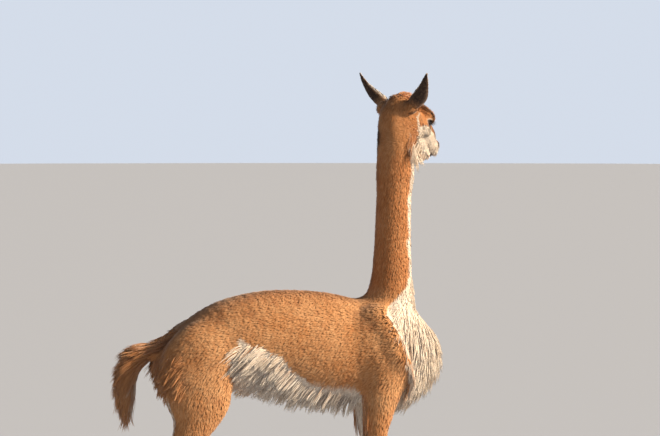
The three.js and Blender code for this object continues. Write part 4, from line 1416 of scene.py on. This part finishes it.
# Where each kind of long hair grows, its strands and how many share a clump, and its sizes in millimetres
fringe = {"count": 1500, "lift": 12, "droop": 0.4, "width": 3.0, "gather": 9, "length": 62}
longHair = {
    "bibHair": {
        "where": bibWhere, "count": 3100, "lift": 15, "droop": 0.35, "width": 3.2, "gather": 6, "pull": 0.4,
        "length": lambda p: np.interp(p[:, 2], [560, 700, 800], [86, 70, 40]),
    },
    "throatHair": {
        "where": throatWhere, "count": 1700, "lift": 16, "droop": 0.1, "width": 2.2, "gather": 7, "pull": 0.5,
        "length": lambda p: np.interp(p[:, 2], [800, 900, 1300], [36, 27, 24]),
    },
    "fringeLeft": {"where": sideOf(1, fringeWhere), **fringe},
    "fringeRight": {"where": sideOf(-1, fringeWhere), **fringe},
    "flankHair": {
        "where": flankWhere, "count": 1600, "lift": 14, "droop": 0.35, "width": 2.6, "gather": 9,
        "length": 78, "marks": {"pale": 0.8},
    },
    "tailHair": {
        "where": tailWhere, "count": 2300, "lift": 19, "droop": 0.12, "width": 3.0, "gather": 9, "pull": 0.55,
        "length": 88,
    },
    "tailRootHair": {
        "where": tailRootWhere, "count": 1100, "lift": 3, "droop": 0.1, "width": 2.8, "gather": 8,
        "length": lambda p: np.interp(-p[:, 1], [-500, -450, -415, -395], [58, 88, 46, 22]),
        "pull": 0.4, "stray": 0.07, "free": True, "lie": tailRootLie,
    },
    "buttockHair": {
        "where": buttockWhere, "count": 1300, "lift": 18, "droop": 0.2, "width": 2.4, "gather": 8,
        "length": 52,
    },
    "crownHair": {
        "where": crownWhere, "count": 1300, "lift": 42, "droop": 0.0, "width": 1.7, "gather": 7, "length": 41,
        "lie": crownLie,
    },
    "jawHair": {
        "where": jawWhere, "count": 1400, "lift": 26, "droop": 0.45, "width": 1.7, "gather": 7, "lie": jawLie,
        "length": lambda p: np.interp(-toHead(p)[:, 1], [60, 120, 210], [48, 62, 34]),
    },
    "cheekHair": {
        "where": cheekWhere, "count": 1600, "lift": 22, "droop": 0.08, "width": 1.5, "gather": 6,
        "length": 17,
    },
}


# Ears: leaves rolled into cups, open forwards and outwards
earWidth = np.array([[0, 17], [0.16, 23], [0.36, 23.5], [0.6, 19], [0.82, 12], [0.95, 5], [1, 1.4]])
earLook = {
    "rings": 34,
    "outer": 26,  # points round the outside, and round the inside
    "inner": 20,
    "thickness": 5.0,
    "roll": (105, 48),  # degrees to either side, at the root and at the tip
    "leaf": 0.955,
    "tuft": (2.0, 0.8, 190000),  # width, thickness and tufts per square metre
    "tuftLength": (7, 12),  # outside and inside, and so the lift
    "tuftLift": (9, 24),
}


def earHalfWidth(t):
    stops = earWidth[:, 0]
    i = min(max(np.searchsorted(stops, t) - 1, 0), len(stops) - 2)
    place = (i + (t - stops[i]) / (stops[i + 1] - stops[i])) / (len(stops) - 1)
    return curveAt(np.column_stack([earWidth, earWidth[:, 0] * 0]), [place])[0][1]


# The ear's way along, its root and reach, the way its cup opens, its bow, and the way across it
def earFrame(hand):
    reach, facing, bow = [yawOnly @ at(hand * animal[key][0], *animal[key][1:])
                          for key in ("earReach", "earFacing", "earBow")]
    axis = unit(reach)
    facing = unit(facing - axis * (facing @ axis))
    bow = bow - axis * (bow @ axis)
    return axis, onHead(animal["earPlace"], hand), reach, facing, bow, np.cross(axis, facing)


def makeEar(name, hand):
    axis, root, reach, facing, bow, across = earFrame(hand)
    points, marks = [], []
    for t in np.linspace(-0.03, earLook["leaf"], earLook["rings"]):
        s = max(t, 0)
        half = earHalfWidth(s)
        roll = math.radians(mix(*earLook["roll"], min(s * 1.15, 1)))
        thick = earLook["thickness"] * mix(1, 0.45, s)
        middle = root + reach * t + bow * math.sin(math.pi * s)
        for inner, angles in ((0, np.linspace(-roll, roll, earLook["outer"])),
                              (1, np.linspace(roll * 0.94, -roll * 0.94, earLook["inner"]))):
            radius = max(half - thick, half * 0.45) if inner else half
            for angle in angles:
                points.append(middle + across * math.sin(angle) * radius
                              + facing * (half * 0.35 - math.cos(angle) * radius))
                marks.append((inner, angle / roll, s))
    points += [root, root + reach * (earLook["leaf"] + 0.012)]
    marks += [(1, 0, 0), (0, 0, 1)]
    faces = closedFaces(earLook["rings"], earLook["outer"] + earLook["inner"])
    if hand > 0:
        faces = [f[::-1] for f in faces]
    ear = meshObject(name, np.array(points), faces)
    turnOutwards(ear.data)
    inner, turn, along = np.array(marks).T
    describe(ear.data, earMarks(ear.data, hand, axis, across, inner, turn, along))
    return ear


# Inner is 1 inside the cup, turn goes from -1 to 1 across the leaf, along from its root to its tip
def earMarks(mesh, hand, axis, across, inner, turn, along):
    total = len(along)
    outside = 1 - inner
    rim = ease(0.72, 0.98, np.abs(turn)) * outside
    lower = ease(0.5, 0.95, turn * -hand) * ease(0.85, 0.5, along) * outside
    pale = np.clip(inner * 0.9 + 0.85 * lower + 0.25 * rim, 0, 1)
    # The outside of the ear darkens from its root towards its tip: its own dark grey-brown, deepened with
    # painted shade
    dark = np.clip(1 - pale * 1.1, 0, 1) * (0.3 + 0.65 * ease(0.02, 0.3, along))
    lie = np.tile(axis, (total, 1)) + 0.25 * np.sign(turn)[:, None] * across * outside[:, None]
    wide, thick, count = earLook["tuft"]
    length, lift = (np.where(inner > 0.5, *earLook[key][::-1]) for key in ("tuftLength", "tuftLift"))
    ones = np.ones(total)
    size = np.column_stack([length * (1 - 0.45 * along), wide * ones, thick * ones, lift, count * ones])
    left, low, patchWide, high = regionPatch["ears"]
    half = patchWide / 2
    u = left + half * (0 if hand > 0 else 1)
    u = u + half * (0.05 + 0.45 * (turn * (1 - 2 * inner) + 1) / 2 + 0.45 * inner)
    return {
        "pale": pale, "neck": 0 * ones, "crown": 0 * ones, "ear": dark, "bare": 0 * ones,
        "lie": unit(alongSkin(lie, readVectors(mesh, "normal"))), "size": size,
        "patch": np.column_stack([u, low + high * (0.04 + 0.92 * along)]),
    }


# Eyes
eyeLook = {
    "tilts": (np.linspace(0, 50, 22), np.linspace(58, 176, 14)),  # degrees from the axis, closer in front
    "around": 40,
    "bulge": 0.05,
}


def makeEye(name, hand, finish):
    centre, look, level, upright = eyeFrame(hand)
    points, spots = [], []
    tilts = np.radians(np.concatenate(eyeLook["tilts"]))
    for tilt in tilts:
        radius = animal["eyeRadius"] * (1 + eyeLook["bulge"] * math.exp(-(tilt / 0.52) ** 4))
        for turn in np.linspace(0, 2 * np.pi, eyeLook["around"], endpoint=False):
            flat = level * np.cos(turn) + upright * np.sin(turn)
            points.append(centre + (look * np.cos(tilt) + flat * np.sin(tilt)) * radius)
            spots.append((math.sin(tilt) * math.cos(turn), math.sin(tilt) * math.sin(turn)))
    front = look * animal["eyeRadius"] * (1 + eyeLook["bulge"])
    points += [centre + front, centre - look * animal["eyeRadius"]]
    spots = np.array(spots + [(0, 0), (2, 2)])
    eye = meshObject(name, np.array(points), closedFaces(len(tilts), eyeLook["around"]))
    turnOutwards(eye.data)
    storeAttribute(eye.data, "across", spots[:, 0])
    storeAttribute(eye.data, "above", spots[:, 1])
    eye.data.materials.append(finish)
    return eye


def eyeFinish():
    look = Finish("eye", Roughness=0.12, Coat_Weight=0.5, Coat_Roughness=0.02, Specular_IOR_Level=0.15)
    across, above = look.attribute("across"), look.attribute("above")
    far = (across * across + above * above) ** 0.5
    slot = (across * across * 2.4 + above * above * 9) ** 0.5
    iris = look.mixed(look.steps(look.noise(900, 2), 0.35, 0.65), rgb(46, 26, 16), rgb(20, 11, 8))
    ball = look.mixed(look.steps(far, 0.7, 0.8), iris, rgb(48, 36, 32))
    look.set(Base_Color=look.mixed(look.steps(slot, 0.62, 0.5), ball, rgb(8, 6, 6)))
    return look.material


# Nails and lashes
def hornFinish():
    look = Finish("horn", Specular_IOR_Level=0.4)
    grain = look.steps(look.noise(160, 3, (1, 1, 6)), 0.3, 0.7)
    look.set(Base_Color=look.mixed(grain, rgb(46, 36, 31), rgb(84, 68, 57)), Roughness=0.35 + grain * 0.25)
    look.bump(grain, 0.3, 0.0006)
    return look.material


def makeNail(name, leg, hand, finish):
    line = nailLine(leg, hand)
    points, faces = castSkin(limbField(line), line, 20, 20, 40)
    points[:, 2] = np.maximum(points[:, 2], 0)
    nail = meshObject(name, points, faces)
    nail.data.materials.append(finish)
    return nail


# Lashes: bristles along the upper lid
lashLook = {"count": 34, "length": 15, "width": 0.9, "stops": ((0, 1), (0.4, 0.8), (0.75, 0.45))}


def makeLashes(name, hand, finish):
    centre, look, level, upright = eyeFrame(hand)
    lid = animal["eyeRadius"] + 1
    points, faces = [], []
    for i in range(lashLook["count"]):
        s = mix(-0.86, 0.9, i / (lashLook["count"] - 1))
        edge = centre + unit(look * 1.0 + level * s * 0.98 + upright * (0.5 - 0.34 * s * s)) * lid
        out = unit(look * 0.8 + level * s * 0.6 + upright * (0.02 + 0.1 * math.sin(9 * i)))
        length = lashLook["length"] * (1 - 0.4 * s * s) * (1 + 0.15 * math.sin(5 * i))
        side = unit(np.cross(out, upright))
        faces += bladeFaces(len(lashLook["stops"]), len(points))
        for t, share in lashLook["stops"]:
            middle = edge + out * length * t + upright * (length * (0.22 * t * t - 0.1 * t))
            for c, s2 in bladeTurns:
                points.append(middle + (side * c + upright * s2) * lashLook["width"] * share / 2)
        points.append(edge + out * length + upright * length * 0.12)
    lashes = meshObject(name, np.array(points), faces)
    lashes.data.materials.append(finish)
    return lashes


def onBody(thing, slot, *nodes):
    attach(thing, "root")
    if nodes:
        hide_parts(*nodes)


def legName(leg):
    return "%s_leg_%s" % (leg["end"], "left" if leg["hand"] > 0 else "right")


print("skin")
skin = makeSkin()
describe(skin.data)
skinFinish = coatFinish("coatSkin", True)
hairFinish = coatFinish("coatHair", False)
skin.data.materials.append(skinFinish)
skin.data.polygons.foreach_set("use_smooth", [True] * len(skin.data.polygons))
print("skin", triangles(skin.data))
flesh = ["forequarters", "barrel", "neck", "hindquarters", "tail", "head"]
for leg in legs:
    upper = "forearm" if leg["end"] == "fore" else "gaskin"
    flesh += ["%s_%s" % (legName(leg), part) for part in (upper, "cannon", "foot")]
onBody(skin, "coat_fawn", *flesh)

print("ears, eyes and nails")
template = tuftTemplate()
tufts = tuftTree()
eyeMaterial, hornMaterial = eyeFinish(), hornFinish()
for side, hand in (("Left", 1), ("Right", -1)):
    ear = makeEar("ear" + side, hand)
    ear.data.materials.append(skinFinish)
    onBody(coatPiece("earTufts" + side, ear, tufts, 0, template, hairFinish), "ear_hair")
    onBody(ear, "ear_hair", "ear_" + side.lower())
    onBody(makeEye("eye" + side, hand, eyeMaterial), "eye", "eye_" + side.lower())
    onBody(makeLashes("lashes" + side, hand, hornMaterial), "horn")
for leg in legs:
    for out in (1, -1):
        name = "%s_nail_%s" % (legName(leg), "outer" if out == leg["hand"] else "inner")
        onBody(makeNail(name + "_horn", leg, out, hornMaterial), "horn", name)

print("coat")
for number, name in enumerate(coatPieces):
    piece = coatPiece(name + "Tufts", skin, tufts, number, template, hairFinish)
    onBody(piece, "coat_face" if name in ("face", "headBack") else "coat_fawn")
for seed, (name, look) in enumerate(longHair.items()):
    hair = strands(name, skin.data, look, hairFinish, 100 + seed)
    onBody(hair, "coat_face" if name in ("jawHair", "cheekHair", "crownHair") else "coat_fawn")
bpy.data.objects.remove(template)


# Studio
studio = {
    "floor": 34.0,
    "floorColour": rgb(176, 184, 198),
    "key": 8.2,
    "keyFrom": (-0.36, -0.81, 0.44),
    "keySoft": 9,
    "keyColour": (1.0, 0.83, 0.62),
    "cameraTurn": 257.0,
    "cameraRise": 3.0,
    "cameraAway": 12.0,
    "lens": 206.2,
    "target": (0, 87.4, 1110),
    "face": (0, 420, 1400),
    "sky": [(0.04, (0.66, 0.72, 0.82, 1)), (0.16, (0.1, 0.12, 0.16, 1))],  # up from the horizon
}


def studioPlace(key):
    return Vector(toMetres(at(*studio[key])))


target = studioPlace("target")


# A lamp or the camera, with its back towards a direction
def placed(name, data, towards, place=(0, 0, 0)):
    thing = bpy.data.objects.new(name, data)
    bpy.context.scene.collection.objects.link(thing)
    thing.location = place
    thing.rotation_euler = towards.to_track_quat("Z", "Y").to_euler()
    return thing


def areaLight(name, away, distance, size, power, colour, aim):
    data = bpy.data.lights.new(name, "AREA")
    data.shape = "RECTANGLE"
    data.size, data.size_y = size
    data.energy, data.color = power, colour
    away = Vector(away).normalized()
    placed(name, data, away, aim + away * distance)


rim = [2 * math.pi * i / 96 for i in range(96)]
floorMesh = bpy.data.meshes.new("floor")
floorMesh.from_pydata([(studio["floor"] * math.cos(a), studio["floor"] * math.sin(a), 0) for a in rim], [],
                      [tuple(range(len(rim)))])
floorMesh.materials.append(Finish("floor", Base_Color=studio["floorColour"], Roughness=0.95).material)
floor = bpy.data.objects.new("floor", floorMesh)
bpy.context.scene.collection.objects.link(floor)

key = bpy.data.lights.new("key", "SUN")
key.energy, key.color = studio["key"], studio["keyColour"]
key.angle = math.radians(studio["keySoft"])
placed("key", key, Vector(studio["keyFrom"]))
areaLight("fill", (-0.8, 0.45, 0.5), 6.0, (4.0, 3.0), 16, (0.95, 0.97, 1.0), target)
areaLight("face", (-0.7, -0.7, 0.1), 1.3, (0.6, 0.6), 3.0, (1.0, 0.9, 0.76), studioPlace("face"))

# The sky is pale towards the horizon and dimmer above
world = bpy.data.worlds.new("studio")
bpy.context.scene.world = world
world.use_nodes = True
air = Graph(world.node_tree)
sky = world.node_tree.nodes["Background"]
apart = air.value("ShaderNodeSeparateXYZ", None, "Z", _0=air.value("ShaderNodeTexCoord", None, "Generated"))
ramp = air.node("ShaderNodeValToRGB", _0=apart)
for stop, (place, colour) in zip(ramp.color_ramp.elements, studio["sky"]):
    stop.position, stop.color = place, colour
air.feed(sky.inputs["Color"], Value(air, ramp.outputs[0]))
sky.inputs["Strength"].default_value = 1.0
bpy.context.scene.view_settings.view_transform = "Standard"

lens = bpy.data.cameras.new("camera")
lens.lens, lens.sensor_width, lens.clip_end = studio["lens"], 36.0, 200.0
turn, rise = math.radians(studio["cameraTurn"]), math.radians(studio["cameraRise"])
back = Vector((math.sin(turn) * math.cos(rise), -math.cos(turn) * math.cos(rise), math.sin(rise)))
bpy.context.scene.camera = placed("camera", lens, back, target + back * studio["cameraAway"])
